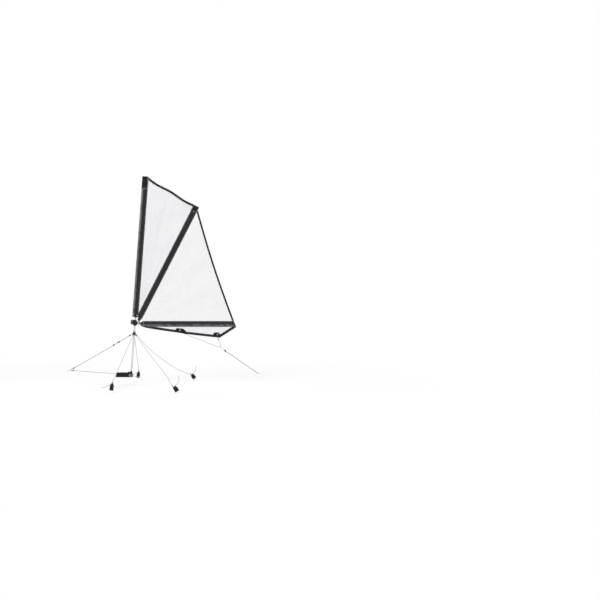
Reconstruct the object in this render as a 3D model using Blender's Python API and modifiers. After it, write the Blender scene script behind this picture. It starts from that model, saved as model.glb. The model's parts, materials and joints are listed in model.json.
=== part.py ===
"""A folding canoe sail. Mast, sprit and boom fan out from one tack fitting, with film panels between
them, over a hinged deck block and its stays.

Metres, +Z up, +X aft and the sail's plane at Y = 0. The origin is under the deck block, where the
mast's axis meets the deck. Places in the sail are told by how far along a spar they lie and how far
aft of its centreline.
"""

import bmesh
import bpy
from math import cos, pi, radians, sin
from mathutils import Matrix, Vector

# Clearances
GAP = 0.0003
CLOTH_GAP = 0.0006
OVERRUN = 0.010

# Spars
MAST_RAKE_DEG = 4.2
SPRIT_ANGLE_DEG = 27.1
MAST_DIAMETER = 0.014
SPAR_DIAMETER = 0.012
TUBE_WALL = 0.0012
MAST_FOOT = 0.050
MAST_HALVES_MEET = 0.860
MAST_TOP = 1.676
FERRULE_LENGTH = 0.120
PLUG_LENGTH = 0.030
CAP_THICKNESS = 0.004

# Deck block and the heel of the mast
BLOCK_FORE = 0.125
BLOCK_AFT = 0.0115
BLOCK_HEIGHT = 0.038
BLOCK_WIDTH = 0.034
BLOCK_SLOPE = 0.010
BLOCK_ROUND = 0.018
BLOCK_BASE = 0.003
BLOCK_EDGE = 0.0015
BLOCK_GROOVE_WIDTH = 0.004
BLOCK_GROOVE_DEPTH = 0.0012
LINE_BORE_HEIGHT = 0.028
HEEL_PIVOT_FORE = 0.002
HEEL_PIVOT_HEIGHT = 0.0155
HEEL_RADIUS = 0.0115
HEEL_WIDTH = 0.020
HEEL_NECK_RADIUS = 0.0086
HEEL_LUG_LENGTH = 0.017
HEEL_LUG_WIDTH = 0.009
HEEL_LUG_THICKNESS = 0.005
HEEL_LUG_HEIGHT = 0.041
HEEL_SLOT_ROOM = 0.0016
FOOT_PIN_RADIUS = 0.003
PIN_HEAD_RADIUS = 0.0055
PIN_HEAD_THICKNESS = 0.002
WASHER_RADIUS = 0.0105
WASHER_THICKNESS = 0.001

# Stay collar
COLLAR_PLACE = 0.357
COLLAR_HEIGHT = 0.018
COLLAR_TOP_RADIUS = 0.009
COLLAR_RADIUS = 0.0155
STOP_RING_PLACE = 0.380
STOP_RING_RADIUS = 0.0105
STOP_RING_HEIGHT = 0.007

# Tack fitting
TACK_PLACE = 0.457
TACK_REACH = 0.0304
SPRIT_OFFSET = 0.0135
BOOM_OFFSET = 0.005
TACK_RING_RADIUS = 0.0155
TACK_RING_END_RADIUS = 0.0115
TACK_RING_HEIGHT = 0.050
TACK_CHEEK_INSIDE = 0.0065
TACK_CHEEK_THICKNESS = 0.004
TACK_LOBE_RADIUS = 0.009
TACK_LOBE_TURNS_DEG = (-110, 80)
TACK_CHEEK_RISE = 0.015
TACK_CHEEK_DROP = 0.0175
TACK_STUD_RADIUS = 0.004
TACK_KNOB_RADIUS = 0.021
TACK_KNOB_THICKNESS = 0.019
TACK_KNOB_FLUTES = 10
TACK_KNOB_FLUTE_DEPTH = 0.0016
TACK_KNOB_RISE = 0.004
TACK_PIN_RADIUS = 0.0025
LINK_WIDTH = 0.013
LINK_HEIGHT = 0.029
LINK_THICKNESS = 0.0015
LINK_SHIFT = 0.0017
TANG_THICKNESS = 0.0055
TANG_WIDTH = 0.009
TANG_EYE_RADIUS = 0.008
TANG_GAP = 0.0008
SPRIT_TUBE_START = 0.036
BOOM_TUBE_START = 0.022
SPRIT_TUBE_END = 1.046
BOOM_TUBE_END = 0.748
SHOULDER_LENGTH = 0.005

# Sleeves, patches and tapes
CLOTH = 0.0008
FILM = 0.0007
LUFF_SLEEVE_START = 0.507
LUFF_SLEEVE_SPARE = 0.006
LUFF_SLEEVE_END = MAST_TOP + LUFF_SLEEVE_SPARE
LUFF_SLEEVE_WIDTH = 0.0488
SPRIT_SLEEVE_START = 0.034
SPRIT_SLEEVE_SPARE = 0.044
SPRIT_SLEEVE_END = SPRIT_TUBE_END + SPRIT_SLEEVE_SPARE
SPRIT_SLEEVE_WIDTH = 0.046
BOOM_SLEEVE_START = 0.017
BOOM_SLEEVE_SPARE = 0.048
BOOM_SLEEVE_END = BOOM_TUBE_END + BOOM_SLEEVE_SPARE
BOOM_SLEEVE_WIDTH = 0.0496
SLEEVE_DEPTH = 0.0165
SLEEVE_FLAT_DEPTH = 0.0066
SLEEVE_GATHER = 0.060
GATHER_SHARES = ((0, 0.42), (0.35, 0.51), (0.7, 0.76), (1, 1))
SLEEVE_FLATTENING = 0.040
HEAD_PATCH_LENGTH = 0.105
PEAK_PATCH_LENGTH = 0.056
TAPE_THICKNESS = 0.0022
HEAD_TAPE_WIDTH = 0.016
LEECH_TAPE_WIDTH = 0.014
FOOT_TAPE_WIDTH = 0.013
SKIRT_TAPE_WIDTH = 0.021
CLEW_THICKNESS = 0.005
PATCH_THICKNESS = 0.0044
PATCH_LAYER = 0.0008
PATCH_ROUND = 0.004
FORE_PATCH_WIDTH = 0.106
FORE_PATCH_HEIGHT = 0.055
AFT_PATCH_WIDTH = 0.066
AFT_PATCH_HEIGHT = 0.042
GROMMET_RADIUS = 0.0055
GROMMET_HOLE_RADIUS = 0.0027
GROMMET_THICKNESS = 0.0056

# Cut of the sail: heads and feet of the edges
LUFF_PANEL_FOOT = 0.520
SPRIT_PANEL_FOOT = 0.062
BOOM_PANEL_FOOT = 0.036
HEAD_HOLLOW = 0.0130
HEAD_WAVE = 0.0048
HEAD_TAPE_DROP = 0.011
HEAD_TAPE_INSET = 0.0015
LEECH_TAPE_DROP = 0.031
LEECH_TAPE_INSET = 0.0028
FOOT_SAG = 0.002
LEECH_HOLLOW = 0.012
PANEL_CAMBER = 0.009
ROW_CROWDING = 1.4
ROW_COUNT = 18
FREE_EDGE_COUNT = 16
FOOT_EDGE_COUNT = 24
SKIRT_EDGE_COUNT = 8
CREASE = 0.0012
CREASE_COUNT = 3
CREASE_SLANT_SHARE = 0.35
SKIRT_START_X = 0.153
SKIRT_RUN = 0.1399
SKIRT_LOW_Z = 0.3377
CLEW_REACH = 0.0227
CLEW_Z = 0.4262
FORE_GROMMET_X = 0.4115
FORE_GROMMET_Z = 0.3938
FORE_PATCH_X = 0.373
FORE_PATCH_Z = 0.3562
AFT_PATCH_FORE = 0.0546
AFT_PATCH_DROP = 0.0052
AFT_GROMMET_TO_SKIRT = 0.0255
AFT_GROMMET_TO_FOOT = 0.0174

# Cords and what they are fast to
STAY_DIAMETER = 0.003
FORESTAY_DIAMETER = 0.0034
LINE_DIAMETER = 0.0034
BRIDLE_DIAMETER = 0.0026
SHEET_DIAMETER = 0.0036
CORD_STEP_SHARE = 9.0
STAY_STEP_SHARE = 14.0
TAB_Y = 0.380
FORE_TAB_WIDTH = 0.030
FORE_TAB_NECK_WIDTH = 0.014
FORE_TAB_LENGTH = 0.058
AFT_TAB_WIDTH = 0.035
AFT_TAB_NECK_WIDTH = 0.0225
AFT_TAB_LENGTH = 0.047
TAB_THICKNESS = 0.004
TAB_ROUND = 0.006
TAB_SHOULDER_SHARE = 0.36
FORE_TAB_TURN_DEG = -8.0
FORE_TAB_X = -0.0373
FORE_TAB_TOP = 0.001
AFT_TAB_X = 0.4420
AFT_TAB_TOP = -0.0238
AFT_TAB_TURN_DEG = 34.0
BOW_X = -0.5130
BOW_Z = 0.0560
BOW_RING_RADIUS = 0.0075
BOW_RING_WIRE = 0.0022
BOW_LOOP_WIDTH = 0.011
BOW_LOOP_LENGTH = 0.0265
BOW_LOOP_CORD = 0.0022
ADJUSTER_LENGTH = 0.022
ADJUSTER_RADIUS = 0.0055
ADJUSTER_END_RADIUS = 0.0039
ADJUSTER_WAIST_RADIUS = 0.0041
ADJUSTER_SHOULDER = 0.0066
BEAD_RADIUS = 0.0048
BRIDLE_LOW_AFT = 0.0074
BRIDLE_LOW_Z = 0.2535
SHEET_WAY_DEG = -38.7
SHEET_LINK_LENGTH = 0.044
SHEET_LINK_WIDTH = 0.015
SHEET_LINK_WIRE = 0.0026
KNOT_LENGTH = 0.026
KNOT_RADIUS = 0.0068
KNOT_SHARES = ((0.4, 1), (0.62, 0.9), (0.8, 0.72), (1, 0.5), (0.94, 0.28), (0.6, 0.06), (0.35, 0))
KNOT_TAIL_FORE = 0.0151
KNOT_TAIL_DROP = 0.0182

UP = Vector((0, 0, 1))
SIDEWAYS = Vector((0, 1, 0))
MAST_WAY = Vector((sin(radians(MAST_RAKE_DEG)), 0, cos(radians(MAST_RAKE_DEG))))
SPRIT_WAY = Vector((sin(radians(SPRIT_ANGLE_DEG)), 0, cos(radians(SPRIT_ANGLE_DEG))))
BOOM_WAY = Vector((1, 0, 0))


def aft_of(way):
    """The direction in the sail's plane that is square to a spar, on its aft or lower side."""
    return Vector((way.z, 0, -way.x))


TACK = MAST_WAY * TACK_PLACE + aft_of(MAST_WAY) * TACK_REACH
SPRIT_ROOT = TACK - aft_of(SPRIT_WAY) * SPRIT_OFFSET
BOOM_ROOT = TACK + aft_of(BOOM_WAY) * BOOM_OFFSET
HEEL = Vector((-HEEL_PIVOT_FORE, 0, HEEL_PIVOT_HEIGHT))
CHEEK_Y = (HEEL_WIDTH / 2 + GAP + BLOCK_WIDTH / 2) / 2
AFT_BORE = Vector((BLOCK_AFT, -CHEEK_Y, HEEL_PIVOT_HEIGHT))

parts = bpy.data.collections.new("CanoeSail")
cutters = bpy.data.collections.new("Cutters")
pivots = {}


def clear_scene():
    for old in list(bpy.data.objects):
        bpy.data.objects.remove(old)
    bpy.context.scene.collection.children.link(parts)
    bpy.context.scene.collection.children.link(cutters)
    cutters.hide_render = True


def material(name, colour, roughness, metallic=0.0, alpha=1.0):
    made = bpy.data.materials.new(name)
    made.use_nodes = True
    surface = made.node_tree.nodes["Principled BSDF"]
    surface.inputs["Base Color"].default_value = (*colour, 1)
    surface.inputs["Roughness"].default_value = roughness
    surface.inputs["Metallic"].default_value = metallic
    surface.inputs["Alpha"].default_value = alpha
    return made


def add_pivot(name, place, way=UP, parent=None):
    """An empty on a joint's axis. Moving pieces hang from it."""
    pivot = bpy.data.objects.new(name, None)
    pivot.matrix_basis = Matrix.Translation(place) @ way.to_track_quat("Z", "Y").to_matrix().to_4x4()
    parts.objects.link(pivot)
    pivots[name] = pivot
    if parent:
        pivot.parent = pivots[parent]
        pivot.matrix_parent_inverse = pivots[parent].matrix_basis.inverted()
    return pivot


def place_object(name, data, look=None, pivot=None, place=None, way=None):
    """A new object in the parts' collection, turned so that its own Z runs along way."""
    obj = bpy.data.objects.new(name, data)
    parts.objects.link(obj)
    if look:
        data.materials.append(look)
    turn = way.to_track_quat("Z", "Y").to_matrix().to_4x4() if way else Matrix()
    obj.matrix_basis = Matrix.Translation(place or Vector()) @ turn
    if pivot:
        obj.parent = pivots[pivot]
        obj.matrix_parent_inverse = pivots[pivot].matrix_basis.inverted()
    return obj


def mesh_of(name, bm, smooth=True):
    mesh = bpy.data.meshes.new(name)
    bmesh.ops.recalc_face_normals(bm, faces=bm.faces)
    bm.to_mesh(mesh)
    bm.free()
    if smooth:
        mesh.shade_smooth()
        mesh.set_sharp_from_angle(angle=radians(35))
    return mesh


def cylinder(name, start, end, radius, look=None, pivot=None, end_radius=None, segments=32):
    """A solid of round section between two points."""
    bm = bmesh.new()
    length = (end - start).length
    tip = radius if end_radius is None else end_radius
    bmesh.ops.create_cone(bm, cap_ends=True, segments=segments, radius1=radius, radius2=tip, depth=length)
    bmesh.ops.translate(bm, verts=bm.verts, vec=(0, 0, length / 2))
    return place_object(name, mesh_of(name, bm), look, pivot, start, end - start)


def tube(name, start, end, radius, look, pivot):
    """An open-ended tube with the spars' wall."""
    bm = bmesh.new()
    length = (end - start).length
    bmesh.ops.create_cone(bm, cap_ends=False, segments=24, radius1=radius, radius2=radius, depth=length)
    bmesh.ops.translate(bm, verts=bm.verts, vec=(0, 0, length / 2))
    obj = place_object(name, mesh_of(name, bm), look, pivot, start, end - start)
    shell = obj.modifiers.new("Wall", "SOLIDIFY")
    shell.thickness = TUBE_WALL
    shell.offset = -1
    return obj


def turned(name, profile, place, way, look, pivot, steps=32):
    """A turned solid. The profile's (radius, height) points run down the outer side."""
    mesh = bpy.data.meshes.new(name)
    points = [(radius, 0, height) for radius, height in profile]
    mesh.from_pydata(points, [(i, i + 1) for i in range(len(points) - 1)], [])
    obj = place_object(name, mesh, look, pivot, place, way)
    screw = obj.modifiers.new("Turn", "SCREW")
    screw.steps = steps
    screw.render_steps = steps
    screw.use_merge_vertices = True
    screw.merge_threshold = 0.00001
    return obj


def slab(name, outline, thickness, look=None, pivot=None, y=0.0, round_edge=0.0):
    """A flat piece in the plane of the sail, from its outline in X and Z."""
    curve = bpy.data.curves.new(name, "CURVE")
    curve.dimensions = "2D"
    curve.fill_mode = "BOTH"
    curve.extrude = thickness / 2
    spline = curve.splines.new("POLY")
    spline.points.add(len(outline) - 1)
    for point, (x, z) in zip(spline.points, outline):
        point.co = (x, z, 0, 1)
    spline.use_cyclic_u = True
    drawn = bpy.data.objects.new(name + "_outline", curve)
    parts.objects.link(drawn)
    graph = bpy.context.evaluated_depsgraph_get()
    mesh = bpy.data.meshes.new_from_object(drawn.evaluated_get(graph))
    bpy.data.objects.remove(drawn)
    bm = bmesh.new()
    bm.from_mesh(mesh)
    bmesh.ops.remove_doubles(bm, verts=bm.verts, dist=0.00001)
    bmesh.ops.rotate(bm, verts=bm.verts, cent=(0, 0, 0), matrix=Matrix.Rotation(pi / 2, 3, "X"))
    bmesh.ops.translate(bm, verts=bm.verts, vec=(0, y, 0))
    made = mesh_of(name, bm)
    bpy.data.meshes.remove(mesh)
    obj = place_object(name, made, look, pivot)
    if round_edge:
        bevel = obj.modifiers.new("Round", "BEVEL")
        bevel.width = round_edge
        bevel.segments = 2
        bevel.limit_method = "ANGLE"
        bevel.angle_limit = radians(50)
    return obj


def rounded(corners, radius, steps=5):
    """An outline whose corners are arcs that touch both sides a given way from the corner."""
    points = []
    count = len(corners)
    for i, (x, z) in enumerate(corners):
        corner = Vector((x, z))
        before = (Vector(corners[i - 1]) - corner).normalized() * radius
        after = (Vector(corners[(i + 1) % count]) - corner).normalized() * radius
        for step in range(steps + 1):
            t = step / steps
            points.append(tuple(corner + before * (1 - t) ** 2 + after * t ** 2))
    return points


def arc(centre_x, centre_z, radius, start_deg, end_deg, steps=12):
    turns = [radians(start_deg + (end_deg - start_deg) * i / steps) for i in range(steps + 1)]
    return [(centre_x + radius * cos(turn), centre_z + radius * sin(turn)) for turn in turns]


def boolean(obj, other, operation):
    """Joins or cuts obj with another solid, which stays as a hidden guide."""
    for holder in list(other.users_collection):
        holder.objects.unlink(other)
    cutters.objects.link(other)
    other.hide_render = True
    other.display_type = "WIRE"
    step = obj.modifiers.new(other.name, "BOOLEAN")
    step.operation = operation
    step.solver = "EXACT"
    step.object = other


def drill(obj, start, end, radius):
    """A round hole from one point through to another, run over at both ends."""
    way = (end - start).normalized() * OVERRUN
    boolean(obj, cylinder(obj.name + "_hole", start - way, end + way, radius, segments=24), "DIFFERENCE")


def loft(name, rings, closed, look, pivot, wall=CLOTH):
    """A shell through rings of points, open at both ends or closed past its last ring."""
    bm = bmesh.new()
    rows = [[bm.verts.new(point) for point in ring] for ring in rings]
    for lower, upper in zip(rows, rows[1:]):
        for i in range(len(lower)):
            j = (i + 1) % len(lower)
            bm.faces.new((lower[i], lower[j], upper[j], upper[i]))
    if closed:
        bm.faces.new(rows[-1])
    bmesh.ops.recalc_face_normals(bm, faces=bm.faces)
    if bm.faces[0].normal.dot(bm.faces[0].calc_center_median() - middle_of(rings[0])) < 0:
        bmesh.ops.reverse_faces(bm, faces=bm.faces)
    mesh = bpy.data.meshes.new(name)
    bm.to_mesh(mesh)
    bm.free()
    mesh.shade_smooth()
    obj = place_object(name, mesh, look, pivot)
    shell = obj.modifiers.new("Cloth", "SOLIDIFY")
    shell.thickness = wall
    shell.offset = -1
    return obj


def middle_of(ring):
    """The middle of a ring of points."""
    return sum(ring, Vector()) / len(ring)


def oval(centre, aft, half_width, half_depth, segments=20):
    turns = [2 * pi * i / segments for i in range(segments)]
    return [centre + aft * (half_width * cos(t)) + SIDEWAYS * (half_depth * sin(t)) for t in turns]


def between(table, at):
    """The value at a place along a table of (place, value) rows, on straight lines between them."""
    if at <= table[0][0]:
        return table[0][1]
    for (low, first), (high, last) in zip(table, table[1:]):
        if at <= high:
            return first + (last - first) * (at - low) / (high - low)
    return table[-1][1]


def cloth_sheet(name, rows, look, pivot, thickness=FILM):
    """Film through rows of points, made from a grid."""
    bm = bmesh.new()
    across = len(rows[0])
    bmesh.ops.create_grid(bm, x_segments=across - 1, y_segments=len(rows) - 1, size=1)
    bm.verts.ensure_lookup_table()
    flat = sorted(bm.verts, key=lambda vert: (round(vert.co.y, 4), vert.co.x))
    for vert, point in zip(flat, [point for row in rows for point in row]):
        vert.co = point
    mesh = mesh_of(name, bm)
    obj = place_object(name, mesh, look, pivot)
    film = obj.modifiers.new("Film", "SOLIDIFY")
    film.thickness = thickness
    film.offset = 0
    return obj


def smooth_route(route, step):
    """Points at about a given step on a smooth curve through a cord's own points."""
    ends = [route[0] * 2 - route[1], *route, route[-1] * 2 - route[-2]]
    points = [route[0]]
    for before, start, end, after in zip(ends, ends[1:], ends[2:], ends[3:]):
        count = max(1, round((end - start).length / step))
        for i in range(1, count + 1):
            t = i / count
            pull = (end - before) * 0.5, (after - start) * 0.5
            h1, h2 = 2 * t**3 - 3 * t**2 + 1, t**3 - 2 * t**2 + t
            points.append(start * h1 + pull[0] * h2 + end * (1 - h1) + pull[1] * (t**3 - t**2))
    return points


def cord(name, route, diameter, look, pivot=None, step_share=CORD_STEP_SHARE):
    """A cord as a tube with closed ends through the points of its route."""
    points = smooth_route([Vector(point) for point in route], diameter * step_share)
    curve = bpy.data.curves.new(name, "CURVE")
    curve.dimensions = "3D"
    curve.bevel_depth = diameter / 2
    curve.bevel_resolution = 2
    curve.use_fill_caps = True
    spline = curve.splines.new("POLY")
    spline.points.add(len(points) - 1)
    for knot, point in zip(spline.points, points):
        knot.co = (*point, 1)
    return place_object(name, curve, look, pivot)


def ring(name, hole, radius, height, place, way, look, pivot, edge):
    """A turned ring with an edge taken off its outer corners."""
    half = height / 2
    profile = [(hole, half), (radius - edge, half), (radius, half - edge)]
    profile += [(radius, edge - half), (radius - edge, -half), (hole, -half)]
    return closed_turn(name, profile, place, way, look, pivot)


def closed_turn(name, profile, place, way, look, pivot, steps=32):
    """A turned solid with a hole along its axis: the profile's last point joins its first."""
    obj = turned(name, profile, place, way, look, pivot, steps)
    mesh = obj.data
    mesh.edges.add(1)
    mesh.edges[-1].vertices = (len(profile) - 1, 0)
    return obj


def wire_ring(name, radius, wire, place, way, look, pivot=None):
    """A ring of round wire."""
    profile = [(radius + wire / 2 * cos(turn), wire / 2 * sin(turn))
               for turn in [-2 * pi * i / 10 for i in range(10)]]
    return closed_turn(name, profile, place, way, look, pivot)


def long_link(name, place, way, side, length, width, wire, look, pivot=None):
    """An oval link of round wire from place on, in the plane of way and side. Sizes are over the wire."""
    bend = (width - wire) / 2
    straight = length - wire - 2 * bend
    middle = place + way * (wire / 2 + bend)
    turns = [pi / 2 + pi * i / 8 for i in range(9)]
    points = [middle + way * (bend * cos(t)) + side * (bend * sin(t)) for t in turns]
    points += [middle + way * (straight - bend * cos(t)) - side * (bend * sin(t)) for t in turns]
    curve = bpy.data.curves.new(name, "CURVE")
    curve.dimensions = "3D"
    curve.bevel_depth = wire / 2
    curve.bevel_resolution = 2
    spline = curve.splines.new("POLY")
    spline.points.add(len(points) - 1)
    for knot, point in zip(spline.points, points):
        knot.co = (*point, 1)
    spline.use_cyclic_u = True
    return place_object(name, curve, look, pivot)


def pin(name, place, radius, half_length, look, pivot, washer=0.0):
    """A pin across the sail's plane with a head, and if need be a fixed washer, at each end."""
    inner = half_length - PIN_HEAD_THICKNESS
    head = radius + (PIN_HEAD_RADIUS - FOOT_PIN_RADIUS)
    profile = [(0, half_length), (head, half_length), (head, inner)]
    if washer:
        inner -= WASHER_THICKNESS
        profile += [(washer, inner + WASHER_THICKNESS), (washer, inner)]
    profile.append((radius, inner))
    profile += [(r, -h) for r, h in reversed(profile)]
    return turned(name, profile, place, SIDEWAYS, look, pivot, 24)


def make_foot(look):
    """The deck block: a moulded bar whose aft end is slotted for the mast's heel."""
    outline = [(-BLOCK_FORE, 0), (BLOCK_SLOPE - BLOCK_FORE, BLOCK_HEIGHT)]
    outline += arc(BLOCK_AFT - BLOCK_ROUND, BLOCK_HEIGHT - BLOCK_ROUND, BLOCK_ROUND, 90, 0, 8)
    outline += [(BLOCK_AFT, 0)]
    block = slab("foot_block", outline, BLOCK_WIDTH, look["moulded"], round_edge=BLOCK_EDGE)
    slot_fore = HEEL.x - HEEL_RADIUS - HEEL_SLOT_ROOM
    slot_aft = BLOCK_AFT + OVERRUN
    slot_top = BLOCK_HEIGHT + OVERRUN
    slot = [(slot_fore, BLOCK_BASE), (slot_fore, slot_top), (slot_aft, slot_top), (slot_aft, BLOCK_BASE)]
    boolean(block, slab("heel_slot", slot, HEEL_WIDTH + 2 * GAP), "DIFFERENCE")
    middle = BLOCK_HEIGHT / 2
    groove = [(BLOCK_SLOPE * 2 - BLOCK_FORE, middle - BLOCK_GROOVE_WIDTH / 2),
              (BLOCK_SLOPE * 2 - BLOCK_FORE, middle + BLOCK_GROOVE_WIDTH / 2),
              (slot_fore - BLOCK_SLOPE, middle + BLOCK_GROOVE_WIDTH / 2),
              (slot_fore - BLOCK_SLOPE, middle - BLOCK_GROOVE_WIDTH / 2)]
    for side in (-1, 1):
        y = side * (BLOCK_WIDTH / 2)
        boolean(block, slab("side_groove", groove, 2 * BLOCK_GROOVE_DEPTH, y=y), "DIFFERENCE")
    through = SIDEWAYS * (BLOCK_WIDTH / 2)
    drill(block, HEEL - through, HEEL + through, FOOT_PIN_RADIUS + GAP)
    bore = LINE_DIAMETER / 2 + CLOTH_GAP
    fore_bore = Vector((-BLOCK_FORE, 0, LINE_BORE_HEIGHT))
    drill(block, fore_bore, fore_bore + BOOM_WAY * OVERRUN, bore)
    drill(block, AFT_BORE, AFT_BORE - BOOM_WAY * FOOT_PIN_RADIUS, bore)
    half = BLOCK_WIDTH / 2 + GAP + WASHER_THICKNESS + PIN_HEAD_THICKNESS
    pin("foot_pin", HEEL, FOOT_PIN_RADIUS, half, look["steel"], None, WASHER_RADIUS)


def make_mast(look):
    """Heel, two tubes joined on a ferrule, cap, and the collar that the stays hang from."""
    inside = MAST_DIAMETER / 2 - TUBE_WALL - GAP
    half = SIDEWAYS * (HEEL_WIDTH / 2)
    heel = cylinder("mast_heel", HEEL - half, HEEL + half, HEEL_RADIUS, look["moulded"], "mast_pivot")
    neck = cylinder("heel_neck", MAST_WAY * HEEL_PIVOT_HEIGHT, MAST_WAY * MAST_FOOT, HEEL_NECK_RADIUS)
    boolean(heel, neck, "UNION")
    plug_end = MAST_WAY * (MAST_FOOT + PLUG_LENGTH)
    boolean(heel, cylinder("heel_plug", MAST_WAY * HEEL_LUG_HEIGHT, plug_end, inside), "UNION")
    low, high = (HEEL_LUG_HEIGHT + side * HEEL_LUG_THICKNESS / 2 for side in (-1, 1))
    fore = -HEEL_NECK_RADIUS - HEEL_LUG_LENGTH
    lug = rounded([(fore, low), (fore, high), (0, high), (0, low)], HEEL_LUG_THICKNESS / 3, 3)
    boolean(heel, slab("heel_lug", lug, HEEL_LUG_WIDTH), "UNION")
    drill(heel, HEEL - half, HEEL + half, FOOT_PIN_RADIUS + GAP)
    radius = MAST_DIAMETER / 2
    meet = MAST_WAY * MAST_HALVES_MEET
    tube("mast_lower_tube", MAST_WAY * (MAST_FOOT + GAP), meet, radius, look["spar"], "mast_pivot")
    tube("mast_upper_tube", meet + MAST_WAY * GAP, MAST_WAY * MAST_TOP, radius, look["spar"], "mast_pivot")
    reach = MAST_WAY * (FERRULE_LENGTH / 2)
    cylinder("mast_ferrule", meet - reach, meet + reach, inside, look["steel"], "mast_pivot")
    make_cap("mast_cap", MAST_WAY * (MAST_TOP + GAP), MAST_WAY, radius, look, "mast_pivot")
    bore = radius + GAP
    rim = [(bore, COLLAR_HEIGHT), (COLLAR_TOP_RADIUS, COLLAR_HEIGHT)]
    rim += [(COLLAR_RADIUS, COLLAR_HEIGHT / 3), (COLLAR_RADIUS, 0), (bore, 0)]
    closed_turn("stay_collar", rim, MAST_WAY * COLLAR_PLACE, MAST_WAY, look["moulded"], "mast_pivot")
    ring("collar_ring", bore, STOP_RING_RADIUS, STOP_RING_HEIGHT, MAST_WAY * STOP_RING_PLACE,
         MAST_WAY, look["rubber"], "mast_pivot", CLOTH)


def make_cap(name, place, way, radius, look, pivot):
    """A turned end plug that closes a tube."""
    inside = radius - TUBE_WALL - GAP
    edge = CAP_THICKNESS / 4
    profile = [(0, CAP_THICKNESS), (radius - edge, CAP_THICKNESS), (radius, CAP_THICKNESS - edge)]
    profile += [(radius, 0), (inside, 0), (inside, -PLUG_LENGTH), (0, -PLUG_LENGTH)]
    turned(name, profile, place, way, look["moulded"], pivot, 24)


def make_tack(look):
    """The fitting that turns round the mast and carries the sprit's and the boom's pin."""
    half = TACK_RING_HEIGHT / 2
    bore = MAST_DIAMETER / 2 + GAP
    swell = [(TACK_RING_END_RADIUS + (TACK_RING_RADIUS - TACK_RING_END_RADIUS) * sin(pi * i / 8),
              half * (1 - i / 4)) for i in range(9)]
    centre = MAST_WAY * TACK_PLACE
    fitting = closed_turn("tack_fitting", [(bore, half), *swell, (bore, -half)], centre, MAST_WAY,
                          look["moulded"], "swing_axis")
    root_x = centre.x + bore
    cheek = arc(TACK.x, TACK.z, TACK_LOBE_RADIUS, *TACK_LOBE_TURNS_DEG)
    cheek += [(root_x, TACK.z + TACK_CHEEK_RISE), (root_x, TACK.z - TACK_CHEEK_DROP)]
    middle = TACK_CHEEK_INSIDE + TACK_CHEEK_THICKNESS / 2
    for side in (-1, 1):
        boolean(fitting, slab("tack_cheek", cheek, TACK_CHEEK_THICKNESS, y=side * middle), "UNION")
    outside = SIDEWAYS * (TACK_CHEEK_INSIDE + TACK_CHEEK_THICKNESS)
    drill(fitting, TACK - outside, TACK + outside, TACK_PIN_RADIUS + GAP)
    fore = -aft_of(MAST_WAY)
    stud = TACK_STUD_RADIUS
    knob_place = centre + MAST_WAY * TACK_KNOB_RISE
    drill(fitting, knob_place + fore * TACK_RING_RADIUS, knob_place + fore * (bore + OVERRUN), stud + GAP)
    make_knob(knob_place, fore, stud, bore, look)
    link_y = TACK_CHEEK_INSIDE + TACK_CHEEK_THICKNESS + GAP + LINK_THICKNESS / 2
    run = (LINK_HEIGHT - LINK_WIDTH) / 2
    plate_x = TACK.x + LINK_SHIFT
    plate = arc(plate_x, TACK.z + run, LINK_WIDTH / 2, 0, 180, 8)
    plate += arc(plate_x, TACK.z - run, LINK_WIDTH / 2, 180, 360, 8)
    for side, word in ((-1, "left"), (1, "right")):
        link = slab("tack_link_" + word, plate, LINK_THICKNESS, look["steel"], "swing_axis", side * link_y)
        drill(link, TACK - SIDEWAYS * link_y, TACK + SIDEWAYS * link_y, TACK_PIN_RADIUS + GAP)
    half_pin = link_y + LINK_THICKNESS / 2 + GAP + PIN_HEAD_THICKNESS
    pin("tack_pin", TACK, TACK_PIN_RADIUS, half_pin, look["steel"], "swing_axis")


def make_knob(place, way, stud, bore, look):
    """The fluted knob on the fore side of the tack fitting, with its stud."""
    edge = TACK_KNOB_FLUTE_DEPTH
    low = TACK_RING_RADIUS + GAP
    high = low + TACK_KNOB_THICKNESS
    profile = [(0, high), (TACK_KNOB_RADIUS - edge, high), (TACK_KNOB_RADIUS, high - edge)]
    profile += [(TACK_KNOB_RADIUS, low + edge), (TACK_KNOB_RADIUS - edge, low), (stud, low)]
    profile += [(stud, bore + GAP), (0, bore + GAP)]
    knob = turned("tack_knob", profile, place, way, look["moulded"], "swing_axis", 40)
    for i in range(TACK_KNOB_FLUTES):
        turn = 2 * pi * i / TACK_KNOB_FLUTES
        out = MAST_WAY * cos(turn) + SIDEWAYS * sin(turn)
        start = place + out * (TACK_KNOB_RADIUS + edge) + way * low
        flute = cylinder("knob_flute", start - way * OVERRUN, start + way * (high + OVERRUN), 2 * edge,
                         segments=12)
        boolean(knob, flute, "DIFFERENCE")


def make_heel(name, root, way, tube_start, side, look, pivot):
    """A spar's heel: an eyed tang on the tack pin, a shoulder and a plug into the tube."""
    radius = SPAR_DIAMETER / 2
    shoulder = root + way * (tube_start - SHOULDER_LENGTH)
    end = root + way * (tube_start - SHOULDER_LENGTH / 2)
    reach = end - TACK
    facing = aft_of(way) * (TANG_WIDTH / 2)
    turn = Vector((reach.x, reach.z)).angle_signed(Vector((1, 0)))
    degrees = turn * 180 / pi
    outline = arc(TACK.x, TACK.z, TANG_EYE_RADIUS, degrees + 90, degrees + 270)
    outline += [(point.x, point.z) for point in (end + facing, end - facing)]
    tang_y = side * (TANG_GAP + TANG_THICKNESS) / 2
    heel = slab(name, outline, TANG_THICKNESS, look["moulded"], pivot, tang_y)
    tip = root + way * tube_start
    boolean(heel, cylinder(name + "_shoulder", shoulder, tip - way * GAP, radius), "UNION")
    plug = radius - TUBE_WALL - GAP
    boolean(heel, cylinder(name + "_plug", end, tip + way * PLUG_LENGTH, plug), "UNION")
    across = SIDEWAYS * TANG_THICKNESS
    drill(heel, TACK - across, TACK + across, TACK_PIN_RADIUS + GAP)


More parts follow.
